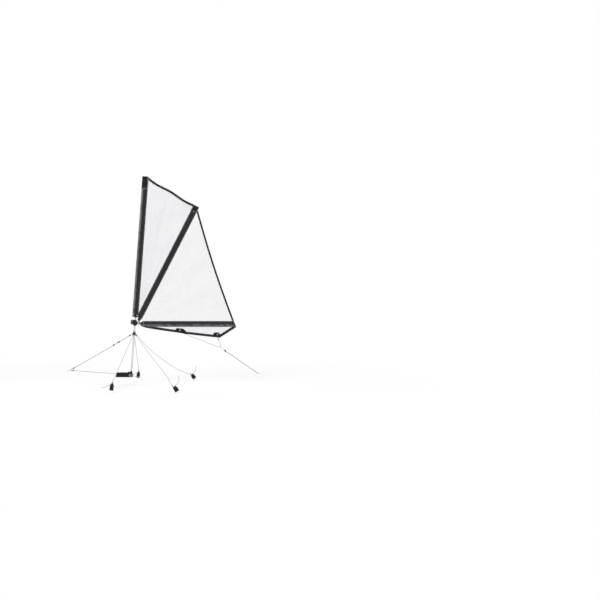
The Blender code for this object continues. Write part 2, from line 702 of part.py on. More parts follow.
def make_spars(look):
    radius = SPAR_DIAMETER / 2
    for name, root, way, start, end, side in (
        ("sprit", SPRIT_ROOT, SPRIT_WAY, SPRIT_TUBE_START, SPRIT_TUBE_END, 1),
        ("boom", BOOM_ROOT, BOOM_WAY, BOOM_TUBE_START, BOOM_TUBE_END, -1),
    ):
        pivot = name + "_pivot"
        make_heel(name + "_heel", root, way, start, side, look, pivot)
        tube(name + "_tube", root + way * start, root + way * end, radius, look["spar"], pivot)
        make_cap(name + "_cap", root + way * (end + GAP), way, radius, look, pivot)


def gathered(start, end, width):
    """Half widths along a sleeve that draws in at its foot. Rows are (along, half width)."""
    half = width / 2
    rows = [(start + SLEEVE_GATHER * along, half * share) for along, share in GATHER_SHARES]
    return rows + [(end, half)]


LUFF_ROWS = [(LUFF_SLEEVE_START, LUFF_SLEEVE_WIDTH / 2), (LUFF_SLEEVE_END, LUFF_SLEEVE_WIDTH / 2)]
SPRIT_ROWS = gathered(SPRIT_SLEEVE_START, SPRIT_SLEEVE_END, SPRIT_SLEEVE_WIDTH)
BOOM_ROWS = [(BOOM_SLEEVE_START, BOOM_SLEEVE_WIDTH / 2), (BOOM_SLEEVE_END, BOOM_SLEEVE_WIDTH / 2)]
PATCH_STEP = 2 * GAP + CLOTH
HEAD_PATCH_END = LUFF_SLEEVE_END + 2 * PATCH_STEP + SLEEVE_FLAT_DEPTH / 2
HEAD_PATCH_START = HEAD_PATCH_END - HEAD_PATCH_LENGTH
PEAK_PATCH_END = SPRIT_SLEEVE_END + 2 * PATCH_STEP + SLEEVE_FLAT_DEPTH / 2
PEAK_PATCH_START = PEAK_PATCH_END - PEAK_PATCH_LENGTH
FORE_PATCH_SHARES = ((0, 0.54), (0.02, 0.87), (0.12, 1), (0.63, 0.9), (0.9, 0.4), (1, 0.18), (0.9, 0),
                     (0.58, 0.18))
AFT_PATCH_SHARES = ((0, 0.27), (0.06, 0.78), (0.2, 1), (0.65, 1), (1, 0.62), (0.9, 0), (0.72, 0.02))


def beside(root, way, along, rows, side, patch_start=None, extra=CLOTH_GAP):
    """A point just off a sleeve's edge: side 1 is the spar's aft or lower edge, and -1 the other."""
    off = between(rows, along) + extra
    if patch_start and along > patch_start - 2 * SLEEVE_FLATTENING:
        off += PATCH_STEP
    return root + way * along + aft_of(way) * (side * off)


def luff_edge(along):
    return beside(Vector(), MAST_WAY, along, LUFF_ROWS, 1, HEAD_PATCH_START)


def sprit_edge(along, side):
    return beside(SPRIT_ROOT, SPRIT_WAY, along, SPRIT_ROWS, side, PEAK_PATCH_START)


def boom_edge(along, side):
    return beside(BOOM_ROOT, BOOM_WAY, along, BOOM_ROWS, side)


def make_sleeve(name, root, way, rows, flatten, look, pivot, grow=0.0, start=None, end=None):
    """A cloth tube over a spar, oval in section. A patch is the same tube grown, closed at its end."""
    first = rows[0][0] if start is None else start
    last = rows[-1][0] if end is None else end
    stops = {first, last} | {along for along, _ in rows if first < along < last}
    sleeve_end = rows[-1][0]
    stops |= {at for at in (sleeve_end - SLEEVE_FLATTENING, sleeve_end) if first < at < last}
    count = max(2, round((last - first) / (SLEEVE_GATHER * 2)))
    stops |= {first + (last - first) * i / count for i in range(1, count)}
    rings = []
    for along in sorted(stops):
        half = between(rows, along) + grow
        flat = max(0, 1 - (sleeve_end - along) / SLEEVE_FLATTENING) if flatten else 0
        depth = SLEEVE_DEPTH + (SLEEVE_FLAT_DEPTH - SLEEVE_DEPTH) * min(1, flat)
        rings.append(oval(root + way * along, aft_of(way), half, depth / 2 + grow))
    return loft(name, rings, bool(grow), look, pivot)


def make_sleeves(look):
    black = look["cloth"]
    origin = Vector()
    make_sleeve("luff_sleeve", origin, MAST_WAY, LUFF_ROWS, False, black, "swing_axis")
    make_sleeve("head_patch", origin, MAST_WAY, LUFF_ROWS, False, look["patch"], "swing_axis",
                PATCH_STEP, HEAD_PATCH_START, HEAD_PATCH_END)
    make_sleeve("sprit_sleeve", SPRIT_ROOT, SPRIT_WAY, SPRIT_ROWS, True, black, "sprit_pivot")
    make_sleeve("peak_patch", SPRIT_ROOT, SPRIT_WAY, SPRIT_ROWS, True, look["patch"], "sprit_pivot",
                PATCH_STEP, PEAK_PATCH_START, PEAK_PATCH_END)
    make_sleeve("boom_sleeve", BOOM_ROOT, BOOM_WAY, BOOM_ROWS, True, black, "boom_pivot")


def curved(start, end, bow, wave, count):
    """Points on a line that is bowed toward its lower side, with a slower wave on top."""
    inward = aft_of((end - start).normalized())
    shares = [i / count for i in range(count + 1)]
    return [start.lerp(end, t) + inward * (bow * sin(pi * t) + wave * sin(3 * pi * t)) for t in shares]


def tape_sides(line, width, start_way=None, end_way=None, ceiling=None):
    """The two sides of a tape, whose ends may be cut along given directions or level under a ceiling."""
    left, right = [], []
    for i, point in enumerate(line):
        way = (line[min(i + 1, len(line) - 1)] - line[max(i - 1, 0)]).normalized()
        across = aft_of(way)
        cut = {0: start_way, len(line) - 1: end_way}.get(i)
        if cut:
            across = cut / cut.dot(across)
        left.append(point - across * (width / 2))
        right.append(point + across * (width / 2))
        if ceiling is not None:
            left[-1].z = min(left[-1].z, ceiling)
    return left, right


def make_tape(name, sides, look, pivot):
    return cloth_sheet(name, sides, look, pivot, TAPE_THICKNESS)


HEAD_TAPE_ENDS = (
    beside(Vector(), MAST_WAY, LUFF_SLEEVE_END - HEAD_TAPE_DROP, LUFF_ROWS, 1, HEAD_PATCH_START),
    beside(SPRIT_ROOT, SPRIT_WAY, SPRIT_SLEEVE_END - HEAD_TAPE_INSET, SPRIT_ROWS, -1, PEAK_PATCH_START),
)
LEECH_TAPE_END_X = BOOM_ROOT.x + BOOM_SLEEVE_END - LEECH_TAPE_INSET
LEECH_TAPE_ENDS = (
    beside(SPRIT_ROOT, SPRIT_WAY, SPRIT_SLEEVE_END - LEECH_TAPE_DROP, SPRIT_ROWS, 1, PEAK_PATCH_START),
    Vector((LEECH_TAPE_END_X, 0, BOOM_ROOT.z + BOOM_SLEEVE_WIDTH / 2 + CLOTH_GAP)),
)


def panel_rows(first, last, free_edge, sprit_end):
    """Film from the tack outward. Its two sides follow the spars and its last row the free edge."""
    count = len(free_edge) - 1
    shares = [(r / ROW_COUNT) ** ROW_CROWDING for r in range(ROW_COUNT + 1)]
    corner = SPRIT_SLEEVE_START + SLEEVE_GATHER - SPRIT_PANEL_FOOT
    corner = corner / (sprit_end - SPRIT_PANEL_FOOT)
    nearest = min(range(1, ROW_COUNT), key=lambda r: abs(shares[r] - corner))
    shares[nearest] = corner
    made = []
    for u in shares:
        start, end = first(u), last(u)
        row = []
        for c, rim in enumerate(free_edge):
            v = c / count
            straight = start.lerp(end, v)
            hollow = rim - free_edge[0].lerp(free_edge[-1], v)
            belly = sin(pi * v) * sin(pi * u)
            crease = CREASE * sin(2 * pi * CREASE_COUNT * (v + CREASE_SLANT_SHARE * u)) * belly * u
            row.append(straight + hollow * u**3 + SIDEWAYS * (PANEL_CAMBER * u * belly + crease))
        made.append(row)
    return made


def make_panels(look):
    """The two film panels of the fan and the tapes on their free edges."""
    line = curved(*HEAD_TAPE_ENDS, HEAD_HOLLOW, HEAD_WAVE, FREE_EDGE_COUNT)
    make_tape("head_tape", tape_sides(line, HEAD_TAPE_WIDTH, MAST_WAY, SPRIT_WAY), look["cloth"],
              "swing_axis")
    head = tape_sides(line, HEAD_TAPE_WIDTH + 2 * CLOTH_GAP, MAST_WAY, SPRIT_WAY)[1]
    luff_head = head[0].dot(MAST_WAY)
    sprit_head = (head[-1] - SPRIT_ROOT).dot(SPRIT_WAY)
    rows = panel_rows(lambda u: luff_edge(LUFF_PANEL_FOOT + (luff_head - LUFF_PANEL_FOOT) * u),
                      lambda u: sprit_edge(SPRIT_PANEL_FOOT + (sprit_head - SPRIT_PANEL_FOOT) * u, -1),
                      head, sprit_head)
    cloth_sheet("upper_panel", rows, look["film"], "swing_axis")
    line = curved(*LEECH_TAPE_ENDS, LEECH_HOLLOW, 0, FREE_EDGE_COUNT)
    make_tape("leech_tape", tape_sides(line, LEECH_TAPE_WIDTH, SPRIT_WAY, BOOM_WAY), look["cloth"],
              "sprit_pivot")
    leech = tape_sides(line, LEECH_TAPE_WIDTH + 2 * CLOTH_GAP, SPRIT_WAY, BOOM_WAY)[1]
    sprit_end = (leech[0] - SPRIT_ROOT).dot(SPRIT_WAY)
    boom_end = (leech[-1] - BOOM_ROOT).dot(BOOM_WAY)
    rows = panel_rows(lambda u: sprit_edge(SPRIT_PANEL_FOOT + (sprit_end - SPRIT_PANEL_FOOT) * u, 1),
                      lambda u: boom_edge(BOOM_PANEL_FOOT + (boom_end - BOOM_PANEL_FOOT) * u, -1),
                      leech, sprit_end)
    cloth_sheet("lower_panel", rows, look["film"], "sprit_pivot")


CLEW = Vector((BOOM_ROOT.x + BOOM_SLEEVE_END + CLEW_REACH, 0, CLEW_Z))
SKIRT_CORNER = Vector((CLEW.x - SKIRT_RUN, 0, SKIRT_LOW_Z))
SKIRT_TOP_Z = BOOM_ROOT.z - BOOM_SLEEVE_WIDTH / 2 - CLOTH_GAP
FOOT_WAY = (SKIRT_CORNER - Vector((SKIRT_START_X, 0, SKIRT_TOP_Z))).normalized()
SKIRT_WAY = (CLEW - SKIRT_CORNER).normalized()
FORE_EYE = Vector((FORE_GROMMET_X, 0, FORE_GROMMET_Z))
AFT_EYE = SKIRT_WAY * AFT_GROMMET_TO_FOOT - FOOT_WAY * AFT_GROMMET_TO_SKIRT
AFT_EYE = SKIRT_CORNER + AFT_EYE / abs(aft_of(FOOT_WAY).dot(SKIRT_WAY))
BRIDLE_LOW = Vector((SKIRT_CORNER.x + BRIDLE_LOW_AFT, 0, BRIDLE_LOW_Z))
SKIRT_MITRE = (aft_of(FOOT_WAY) + aft_of(SKIRT_WAY)).normalized()


def tape_line():
    """The centreline of the foot tape, from where it clears the boom sleeve to the skirt's corner."""
    half = FOOT_TAPE_WIDTH / 2
    rise = -aft_of(FOOT_WAY) * half
    start = Vector((SKIRT_START_X, 0, SKIRT_TOP_Z)) + rise
    start += FOOT_WAY * OVERRUN
    end = SKIRT_CORNER - SKIRT_MITRE * (half / SKIRT_MITRE.dot(aft_of(FOOT_WAY))) - FOOT_WAY * GAP
    return curved(start, end, FOOT_SAG, 0, FOOT_EDGE_COUNT)


def make_skirt(look):
    """The skirt under the boom: film, its two tapes and the clew's corner."""
    line = tape_line()
    pivot = "boom_pivot"
    foot = make_tape("foot_tape", tape_sides(line, FOOT_TAPE_WIDTH, None, SKIRT_MITRE, SKIRT_TOP_Z),
                     look["cloth"], pivot)
    half = SKIRT_TAPE_WIDTH / 2
    start = SKIRT_CORNER - SKIRT_MITRE * (half / SKIRT_MITRE.dot(aft_of(SKIRT_WAY))) + SKIRT_WAY * GAP
    end = start + SKIRT_WAY * ((SKIRT_TOP_Z - start.z) / SKIRT_WAY.z)
    rise = curved(start, end, 0, 0, SKIRT_EDGE_COUNT)
    make_tape("skirt_tape", tape_sides(rise, SKIRT_TAPE_WIDTH, SKIRT_MITRE, BOOM_WAY), look["cloth"],
              pivot)
    lower = tape_sides(line, FOOT_TAPE_WIDTH + 2 * CLOTH_GAP, None, SKIRT_MITRE)[0]
    lower = [point for point in lower if point.z < SKIRT_TOP_Z - 2 * CLOTH]
    corner = start - aft_of(SKIRT_WAY) * (half + CLOTH_GAP)
    hit = corner + SKIRT_WAY * ((SKIRT_TOP_Z - corner.z) / SKIRT_WAY.z)
    lower = [point for point in lower if point.x < corner.x - CLOTH_GAP]
    lower.append(corner)
    tops = [lower[0].x + (hit.x - lower[0].x) * i / (len(lower) - 1) for i in range(len(lower))]
    rows = []
    for share in (0, 0.25, 0.5, 0.75, 1):
        rows.append([Vector((x, 0, SKIRT_TOP_Z)).lerp(low, share) for x, low in zip(tops, lower)])
    film = cloth_sheet("skirt_panel", rows, look["film"], pivot)
    edge_x = LEECH_TAPE_END_X + LEECH_TAPE_WIDTH / 2
    sleeve_end = BOOM_ROOT.x + BOOM_SLEEVE_END + CLOTH_GAP
    corner_z = BOOM_ROOT.z + BOOM_SLEEVE_WIDTH / 2
    clew = [(sleeve_end, corner_z), (edge_x, corner_z), (CLEW.x, CLEW.z),
            (CLEW.x - CLEW_THICKNESS, SKIRT_TOP_Z + 2 * CLOTH_GAP),
            (sleeve_end, SKIRT_TOP_Z + 2 * CLOTH_GAP)]
    slab("clew_patch", rounded(clew, CLEW_THICKNESS / 3, 3), CLEW_THICKNESS, look["patch"], pivot)
    for name, x, z, width, height, shares, eye in (
        ("fore", FORE_PATCH_X, FORE_PATCH_Z, FORE_PATCH_WIDTH, FORE_PATCH_HEIGHT, FORE_PATCH_SHARES,
         FORE_EYE),
        ("aft", SKIRT_CORNER.x - AFT_PATCH_FORE, SKIRT_CORNER.z - AFT_PATCH_DROP, AFT_PATCH_WIDTH,
         AFT_PATCH_HEIGHT, AFT_PATCH_SHARES, AFT_EYE),
    ):
        corners = [(x + width * across, z + height * up) for across, up in shares]
        outline = rounded(corners, PATCH_ROUND, 3)
        patch = slab("sheet_patch_" + name, outline, PATCH_THICKNESS, look["patch"], pivot)
        low = [point + aft_of(FOOT_WAY) * (FOOT_TAPE_WIDTH / 2 + CLOTH_GAP) for point in line]
        west, east = low[0] - FOOT_WAY * OVERRUN, low[-1] + FOOT_WAY * (2 * OVERRUN)
        slot = [(point.x, point.z) for point in (west, *low, east)]
        slot += [(east.x, BOOM_ROOT.z), (west.x, BOOM_ROOT.z)]
        boolean(patch, slab("fold", slot, PATCH_THICKNESS - 2 * PATCH_LAYER), "DIFFERENCE")
        through = SIDEWAYS * PATCH_THICKNESS
        barrel = (GROMMET_RADIUS + GROMMET_HOLE_RADIUS) / 2
        for pierced in (patch, film, foot):
            drill(pierced, eye - through, eye + through, barrel + GAP)
        make_grommet("grommet_" + name, eye, barrel, look, pivot)


def make_grommet(name, place, barrel, look, pivot):
    half = GROMMET_THICKNESS / 2
    under = PATCH_THICKNESS / 2 + GAP
    profile = [(GROMMET_HOLE_RADIUS, half), (GROMMET_RADIUS, half), (GROMMET_RADIUS, under)]
    profile += [(barrel, under), (barrel, -under), (GROMMET_RADIUS, -under), (GROMMET_RADIUS, -half)]
    profile += [(GROMMET_HOLE_RADIUS, -half)]
    closed_turn(name, profile, place, SIDEWAYS, look["steel"], pivot, 20)


# Routes of the cords, as the photograph shows them
FORESTAY_ROUTE = [(0.0092, 0, 0.3601), (-0.1033, 0, 0.2928), (-0.2898, 0, 0.1832), (-0.5050, 0, 0.0606)]
FORE_LINE_ROUTE = [(-0.5038, 0, 0.0554), (-0.4400, 0, 0.0507), (-0.3000, 0, 0.0405), (-0.1800, 0, 0.0315),
                   (-0.1450, 0, 0.0290), (-0.1220, 0, 0.0280), (-0.1080, 0, 0.0280)]
AFT_LINE_ROUTE = [(0.0065, -0.01365, 0.0155), (0.0160, -0.01365, 0.0152), (0.0300, -0.0145, 0.0105),
                  (0.0480, -0.0160, 0.0055), (0.0620, -0.0170, 0.0028), (0.0760, -0.0175, 0.0021)]
FORE_STAY_ROUTE = [(0.0237, -0.0168, 0.3590), (-0.0060, -0.1940, 0.1830), (-0.0365, -0.3780, 0.0080),
                   (-0.0373, -0.3800, 0.0016)]
NEAR_AFT_STAY_ROUTE = [(0.0384, -0.0121, 0.3585), (0.2080, -0.1880, 0.2045), (0.3800, -0.3650, 0.0555),
                       (0.4100, -0.3790, 0.0140), (0.4339, -0.3800, -0.0287)]
FAR_AFT_STAY_ROUTE = [(0.0384, 0.0121, 0.3585), (0.1250, 0.0950, 0.2330), (0.2267, 0.1900, 0.1236),
                      (0.3300, 0.2850, 0.0330), (0.4000, 0.3500, -0.0110), (0.4300, 0.3795, -0.0215),
                      (0.4339, 0.3800, -0.0287)]
FORE_TAIL_ROUTE = [(-0.0506, -0.38, -0.0072), (-0.0700, -0.38, -0.0172), (-0.0950, -0.38, -0.0283),
                   (-0.1150, -0.38, -0.0370)]
AFT_TAIL_ROUTE = [(0.4468, -0.38, -0.0183), (0.4650, -0.38, -0.0030), (0.4770, -0.38, 0.0120),
                  (0.4800, -0.38, 0.0330), (0.4790, -0.38, 0.0569)]
FORE_HITCH = [(0, -0.0040, 0), (0, 0.0050, 0), (0.0085, 0.0064, -0.0058), (0.0325, 0.0058, -0.0233),
              (0.0525, 0.0048, -0.0348), (0.0645, 0.0020, -0.0418)]
BRIDLE_SAG_SHARES = [(0.350, 0.0137), (0.571, 0.0102), (0.762, 0.0105), (0.884, 0.0094)]
BRIDLE_BEND = [(-0.0100, 0, -0.0020), (0, 0, 0), (0.0035, 0, 0.0105), (-0.0020, 0, 0.0295)]
AFT_HITCH = [(0.0143, 0, -0.0579), (0.0109, 0, -0.0503), (0.0076, 0, -0.0428), (0.0043, 0, -0.0353),
             (0.0032, 0.0046, -0.0268), (0.0026, 0.0062, -0.0148), (0.0010, 0.0064, -0.0048),
             (0, 0.0050, 0), (0, -0.0040, 0)]
SHEET_RUN = [(0.0513, 0, -0.0411), (0.0967, 0, -0.0705), (0.1656, 0, -0.1183), (0.2450, 0, -0.1740),
             (0.3244, 0, -0.2275)]


def from_place(place, steps):
    """The points that lie the given steps away from a place."""
    return [tuple(place + Vector(step)) for step in steps]


BRIDLE_ROUTE = from_place(FORE_EYE, FORE_HITCH)
BRIDLE_ROUTE += [tuple(FORE_EYE.lerp(BRIDLE_LOW, share) - UP * sag) for share, sag in BRIDLE_SAG_SHARES]
BRIDLE_ROUTE += from_place(BRIDLE_LOW, BRIDLE_BEND)
BRIDLE_ROUTE += from_place(AFT_EYE, AFT_HITCH)
SHEET_ROUTE = from_place(BRIDLE_LOW, SHEET_RUN)
ADJUSTER_POINT = 1
BEAD_POINT = 16


def mirrored(route):
    return [(x, -y, z) for x, y, z in route]


def tangent(route, i):
    return (Vector(route[i + 1]) - Vector(route[i - 1])).normalized()


def make_stays(look):
    """Four side stays with their tails, and the webbing tabs on the hull that hold them."""
    for word, side in (("left", -1), ("right", 1)):
        turn = mirrored if side > 0 else list
        aft = FAR_AFT_STAY_ROUTE if side > 0 else NEAR_AFT_STAY_ROUTE
        cord("stay_fore_" + word, turn(FORE_STAY_ROUTE), STAY_DIAMETER, look["pale"], step_share=STAY_STEP_SHARE)
        cord("stay_aft_" + word, aft, STAY_DIAMETER, look["pale"], step_share=STAY_STEP_SHARE)
        cord("tail_fore_" + word, turn(FORE_TAIL_ROUTE), STAY_DIAMETER, look["dark"])
        cord("tail_aft_" + word, turn(AFT_TAIL_ROUTE), STAY_DIAMETER, look["pale"])
        make_tab("tab_fore_" + word, FORE_TAB_X, FORE_TAB_TOP, FORE_TAB_TURN_DEG, FORE_TAB_WIDTH,
                 FORE_TAB_NECK_WIDTH, FORE_TAB_LENGTH, side, look)
        make_tab("tab_aft_" + word, AFT_TAB_X, AFT_TAB_TOP, AFT_TAB_TURN_DEG, AFT_TAB_WIDTH,
                 AFT_TAB_NECK_WIDTH, AFT_TAB_LENGTH, side, look)


def make_tab(name, x, top, turn_deg, width, neck, length, side, look):
    """A folded webbing tab whose narrow end holds the cord. It hangs from the middle of that end."""
    across = Vector((cos(radians(turn_deg)), sin(radians(turn_deg))))
    down = Vector((across.y, -across.x))
    shoulder = length * TAB_SHOULDER_SHARE
    local = [(-neck / 2, 0), (neck / 2, 0), (width / 2, shoulder), (width / 2, length)]
    local += [(-width / 2, length), (-width / 2, shoulder)]
    place = Vector((x, top))
    corners = [tuple(place + across * s + down * t) for s, t in local]
    outline = rounded(corners, TAB_ROUND / 2, 3)
    slab(name, outline, TAB_THICKNESS, look["webbing"], y=side * TAB_Y, round_edge=CLOTH)


def make_bow(look):
    """The forestay with its adjuster, and the ring and loop at the bow that turn its line aft."""
    place = Vector((BOW_X, 0, BOW_Z))
    wire_ring("bow_ring", BOW_RING_RADIUS, BOW_RING_WIRE, place, SIDEWAYS, look["steel"])
    inside = place - BOOM_WAY * (BOW_RING_RADIUS - BOW_RING_WIRE / 2 - GAP - BOW_LOOP_CORD)
    way = (inside - BOOM_WAY * BOW_LOOP_LENGTH - UP * BOW_RING_RADIUS - inside).normalized()
    long_link("bow_loop", inside, way, SIDEWAYS, BOW_LOOP_LENGTH, BOW_LOOP_WIDTH, BOW_LOOP_CORD,
              look["pale"])
    cord("forestay", FORESTAY_ROUTE, FORESTAY_DIAMETER, look["dark"], step_share=STAY_STEP_SHARE)
    cord("fore_line", FORE_LINE_ROUTE, LINE_DIAMETER, look["pale"], step_share=STAY_STEP_SHARE)
    cord("aft_line", AFT_LINE_ROUTE, LINE_DIAMETER, look["pale"])
    bore = FORESTAY_DIAMETER / 2 + GAP
    half = ADJUSTER_LENGTH / 2
    profile = [(bore, half), (ADJUSTER_END_RADIUS, half), (ADJUSTER_RADIUS, ADJUSTER_SHOULDER)]
    profile += [(ADJUSTER_WAIST_RADIUS, 0)]
    profile += [(radius, -height) for radius, height in reversed(profile[:-1])]
    closed_turn("forestay_adjuster", profile, Vector(FORESTAY_ROUTE[ADJUSTER_POINT]),
                tangent(FORESTAY_ROUTE, ADJUSTER_POINT), look["moulded"], None, 20)


def make_sheet(look):
    """The bridle under the skirt, and the link, knot and sheet that run aft from it."""
    pivot = "boom_pivot"
    cord("bridle", BRIDLE_ROUTE, BRIDLE_DIAMETER, look["pale"], pivot)
    bore = BRIDLE_DIAMETER / 2 + GAP
    ball = [(BEAD_RADIUS * cos(turn), BEAD_RADIUS * sin(turn))
            for turn in [radians(60 - 15 * i) for i in range(9)]]
    profile = [(bore, ball[0][1]), *ball, (bore, ball[-1][1])]
    closed_turn("bridle_bead", profile, Vector(BRIDLE_ROUTE[BEAD_POINT]),
                tangent(BRIDLE_ROUTE, BEAD_POINT), look["moulded"], pivot, 20)
    way = Vector((cos(radians(SHEET_WAY_DEG)), 0, sin(radians(SHEET_WAY_DEG))))
    start = BRIDLE_LOW - way * (SHEET_LINK_WIRE + BRIDLE_DIAMETER / 2 + CLOTH_GAP + GAP)
    long_link("sheet_link", start, way, SIDEWAYS, SHEET_LINK_LENGTH, SHEET_LINK_WIDTH, SHEET_LINK_WIRE,
              look["steel"], pivot)
    end = start + way * (SHEET_LINK_LENGTH + GAP)
    knot = [(0, KNOT_LENGTH)]
    knot += [(KNOT_RADIUS * share, KNOT_LENGTH * along) for share, along in KNOT_SHARES]
    knot += [(0, 0)]
    body = turned("sheet_knot", knot, end, way, look["dark"], pivot, 16)
    middle = end + way * (KNOT_LENGTH / 2)
    tail_end = middle - BOOM_WAY * KNOT_TAIL_FORE - UP * KNOT_TAIL_DROP
    boolean(body, cylinder("knot_tail", middle, tail_end, SHEET_DIAMETER / 2, segments=12), "UNION")
    cord("sheet", SHEET_ROUTE, SHEET_DIAMETER, look["dark"], pivot, step_share=STAY_STEP_SHARE)


def make_looks():
    return {
        "film": material("sail_film", (0.86, 0.86, 0.88), 0.35, alpha=0.75),
        "cloth": material("sleeve_cloth", (0.045, 0.043, 0.048), 0.75),
        "patch": material("patch_cloth", (0.022, 0.021, 0.026), 0.7),
        "webbing": material("webbing", (0.02, 0.02, 0.022), 0.85),
        "moulded": material("moulded_nylon", (0.018, 0.018, 0.02), 0.45),
        "rubber": material("stop_rubber", (0.025, 0.025, 0.025), 0.8),
        "spar": material("spar_aluminium", (0.72, 0.73, 0.74), 0.32, 1.0),
        "steel": material("stainless_steel", (0.6, 0.6, 0.62), 0.28, 1.0),
        "pale": material("pale_cord", (0.62, 0.62, 0.6), 0.8),
        "dark": material("dark_cord", (0.12, 0.12, 0.12), 0.8),
    }


def main():
    clear_scene()
    look = make_looks()
    add_pivot("mast_pivot", HEEL, SIDEWAYS)
    add_pivot("swing_axis", MAST_WAY * TACK_PLACE, MAST_WAY, "mast_pivot")
    add_pivot("sprit_pivot", TACK, -SIDEWAYS, "swing_axis")
    add_pivot("boom_pivot", TACK, -SIDEWAYS, "sprit_pivot")
    make_foot(look)
    make_mast(look)
    make_tack(look)
    make_spars(look)
    make_sleeves(look)
    make_panels(look)
    make_skirt(look)
    make_stays(look)
    make_bow(look)
    make_sheet(look)


main()
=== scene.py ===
import bmesh
import bpy
import json
from math import acos, atan2, ceil, cos, pi, radians, sin
from mathutils import Matrix, Vector, noise


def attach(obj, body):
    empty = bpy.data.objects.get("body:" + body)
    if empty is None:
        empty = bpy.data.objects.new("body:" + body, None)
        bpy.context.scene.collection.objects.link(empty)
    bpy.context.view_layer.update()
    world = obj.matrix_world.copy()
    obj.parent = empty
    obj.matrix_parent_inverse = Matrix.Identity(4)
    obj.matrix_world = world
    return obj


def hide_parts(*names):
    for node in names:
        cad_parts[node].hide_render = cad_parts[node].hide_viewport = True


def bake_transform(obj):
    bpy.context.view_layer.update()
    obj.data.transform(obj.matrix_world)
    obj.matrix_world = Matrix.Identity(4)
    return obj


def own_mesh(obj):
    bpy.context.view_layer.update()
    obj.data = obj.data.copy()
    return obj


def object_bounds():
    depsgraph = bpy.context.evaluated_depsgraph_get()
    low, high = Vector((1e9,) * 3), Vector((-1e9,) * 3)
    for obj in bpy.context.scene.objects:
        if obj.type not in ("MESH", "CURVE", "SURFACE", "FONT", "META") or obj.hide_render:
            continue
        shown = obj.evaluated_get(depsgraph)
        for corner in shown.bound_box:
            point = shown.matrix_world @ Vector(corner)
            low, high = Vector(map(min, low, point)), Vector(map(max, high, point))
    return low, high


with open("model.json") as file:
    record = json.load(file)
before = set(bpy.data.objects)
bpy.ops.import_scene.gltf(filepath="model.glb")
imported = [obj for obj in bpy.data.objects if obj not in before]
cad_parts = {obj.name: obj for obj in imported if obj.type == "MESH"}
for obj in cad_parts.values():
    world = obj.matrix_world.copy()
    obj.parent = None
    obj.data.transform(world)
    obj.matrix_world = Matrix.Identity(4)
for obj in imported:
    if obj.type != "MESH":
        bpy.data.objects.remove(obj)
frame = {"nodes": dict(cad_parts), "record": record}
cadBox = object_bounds()
print("frame loaded")

# Camera: square to the sail from its left side, level with the middle of the photograph
view = {"x": 1.4196, "away": 5.0, "height": 0.6468, "frameWidth": 5.04, "sensor": 36.0}
cameraData = bpy.data.cameras.new("camera")
cameraData.sensor_width = view["sensor"]
cameraData.lens = view["sensor"] * view["away"] / view["frameWidth"]
camera = bpy.data.objects.new("camera", cameraData)
camera.location = (view["x"], -view["away"], view["height"])
camera.rotation_euler = (pi / 2, 0, 0)
bpy.context.scene.collection.objects.link(camera)
bpy.context.scene.camera = camera
bpy.context.scene.view_settings.view_transform = "Standard"

# The three spars and the pin that they fan out from, as the frame has them
up, sideways = Vector((0, 0, 1)), Vector((0, 1, 0))
spars = {"rake": 4.2, "spritAngle": 27.1, "tackAlong": 0.457, "tackReach": 0.0304,
         "spritOffset": 0.0135, "boomOffset": 0.005}
mastWay = Vector((sin(radians(spars["rake"])), 0, cos(radians(spars["rake"]))))
spritWay = Vector((sin(radians(spars["spritAngle"])), 0, cos(radians(spars["spritAngle"]))))
boomWay = Vector((1, 0, 0))


def aftOf(way):  # square to a spar, on its aft or lower side
    return Vector((way.z, 0, -way.x))


tack = mastWay * spars["tackAlong"] + aftOf(mastWay) * spars["tackReach"]
spritRoot = tack - aftOf(spritWay) * spars["spritOffset"]
boomRoot = tack + aftOf(boomWay) * spars["boomOffset"]


# Materials

def linear(hexColour):  # sRGB hex to the linear colour that a socket takes
    parts = [int(hexColour[i:i + 2], 16) / 255 for i in (1, 3, 5)]
    return (*[c / 12.92 if c <= 0.04045 else ((c + 0.055) / 1.055) ** 2.4 for c in parts], 1)


def addNode(owner, kind, links=(), inputs=None, **settings):  # links are (input, node, output)
    tree = owner.node_tree
    node = tree.nodes.new("ShaderNode" + kind)
    for key, value in settings.items():
        setattr(node, key, value)
    for name, value in (inputs or {}).items():
        node.inputs[name].default_value = value
    for name, other, output in links:
        tree.links.new(other.outputs[output], node.inputs[name])
    return node


def surface(name, colour, roughness, reads="Object", **values):  # gives the link that patterns read too
    made = bpy.data.materials.new(name)
    made.use_nodes = True
    skin = made.node_tree.nodes["Principled BSDF"].inputs
    skin["Base Color"].default_value = linear(colour)
    skin["Roughness"].default_value = roughness
    for key, value in values.items():
        skin[key.replace("_", " ")].default_value = value
    return made, [("Vector", addNode(made, "TexCoord"), reads)]


# Each part of a finish reads one output of a pattern: colour by stops, roughness by its least and
# most, and relief by its strength and depth
def finish(made, colour=None, rough=None, relief=None):
    tree = made.node_tree
    skin = tree.nodes["Principled BSDF"].inputs
    if colour:
        node, output, *stops = colour
        shades = addNode(made, "ValToRGB", [("Fac", node, output)])
        elements = shades.color_ramp.elements
        for element, (at, shade) in zip(elements, (stops[0], stops[-1])):
            element.position, element.color = at, linear(shade)
        for at, shade in stops[1:-1]:
            elements.new(at).color = linear(shade)
        tree.links.new(shades.outputs["Color"], skin["Base Color"])
    if rough:
        node, output, least, most = rough
        spread = addNode(made, "MapRange", [("Value", node, output)], {"To Min": least, "To Max": most})
        tree.links.new(spread.outputs["Result"], skin["Roughness"])
    if relief:
        node, output, strength, depth = relief
        raised = addNode(made, "Bump", [("Height", node, output)],
                         {"Strength": strength, "Distance": depth})
        tree.links.new(raised.outputs["Normal"], skin["Normal"])
    return made


waveLength = 0.31  # metres from band to band of a wave texture whose scale is 1


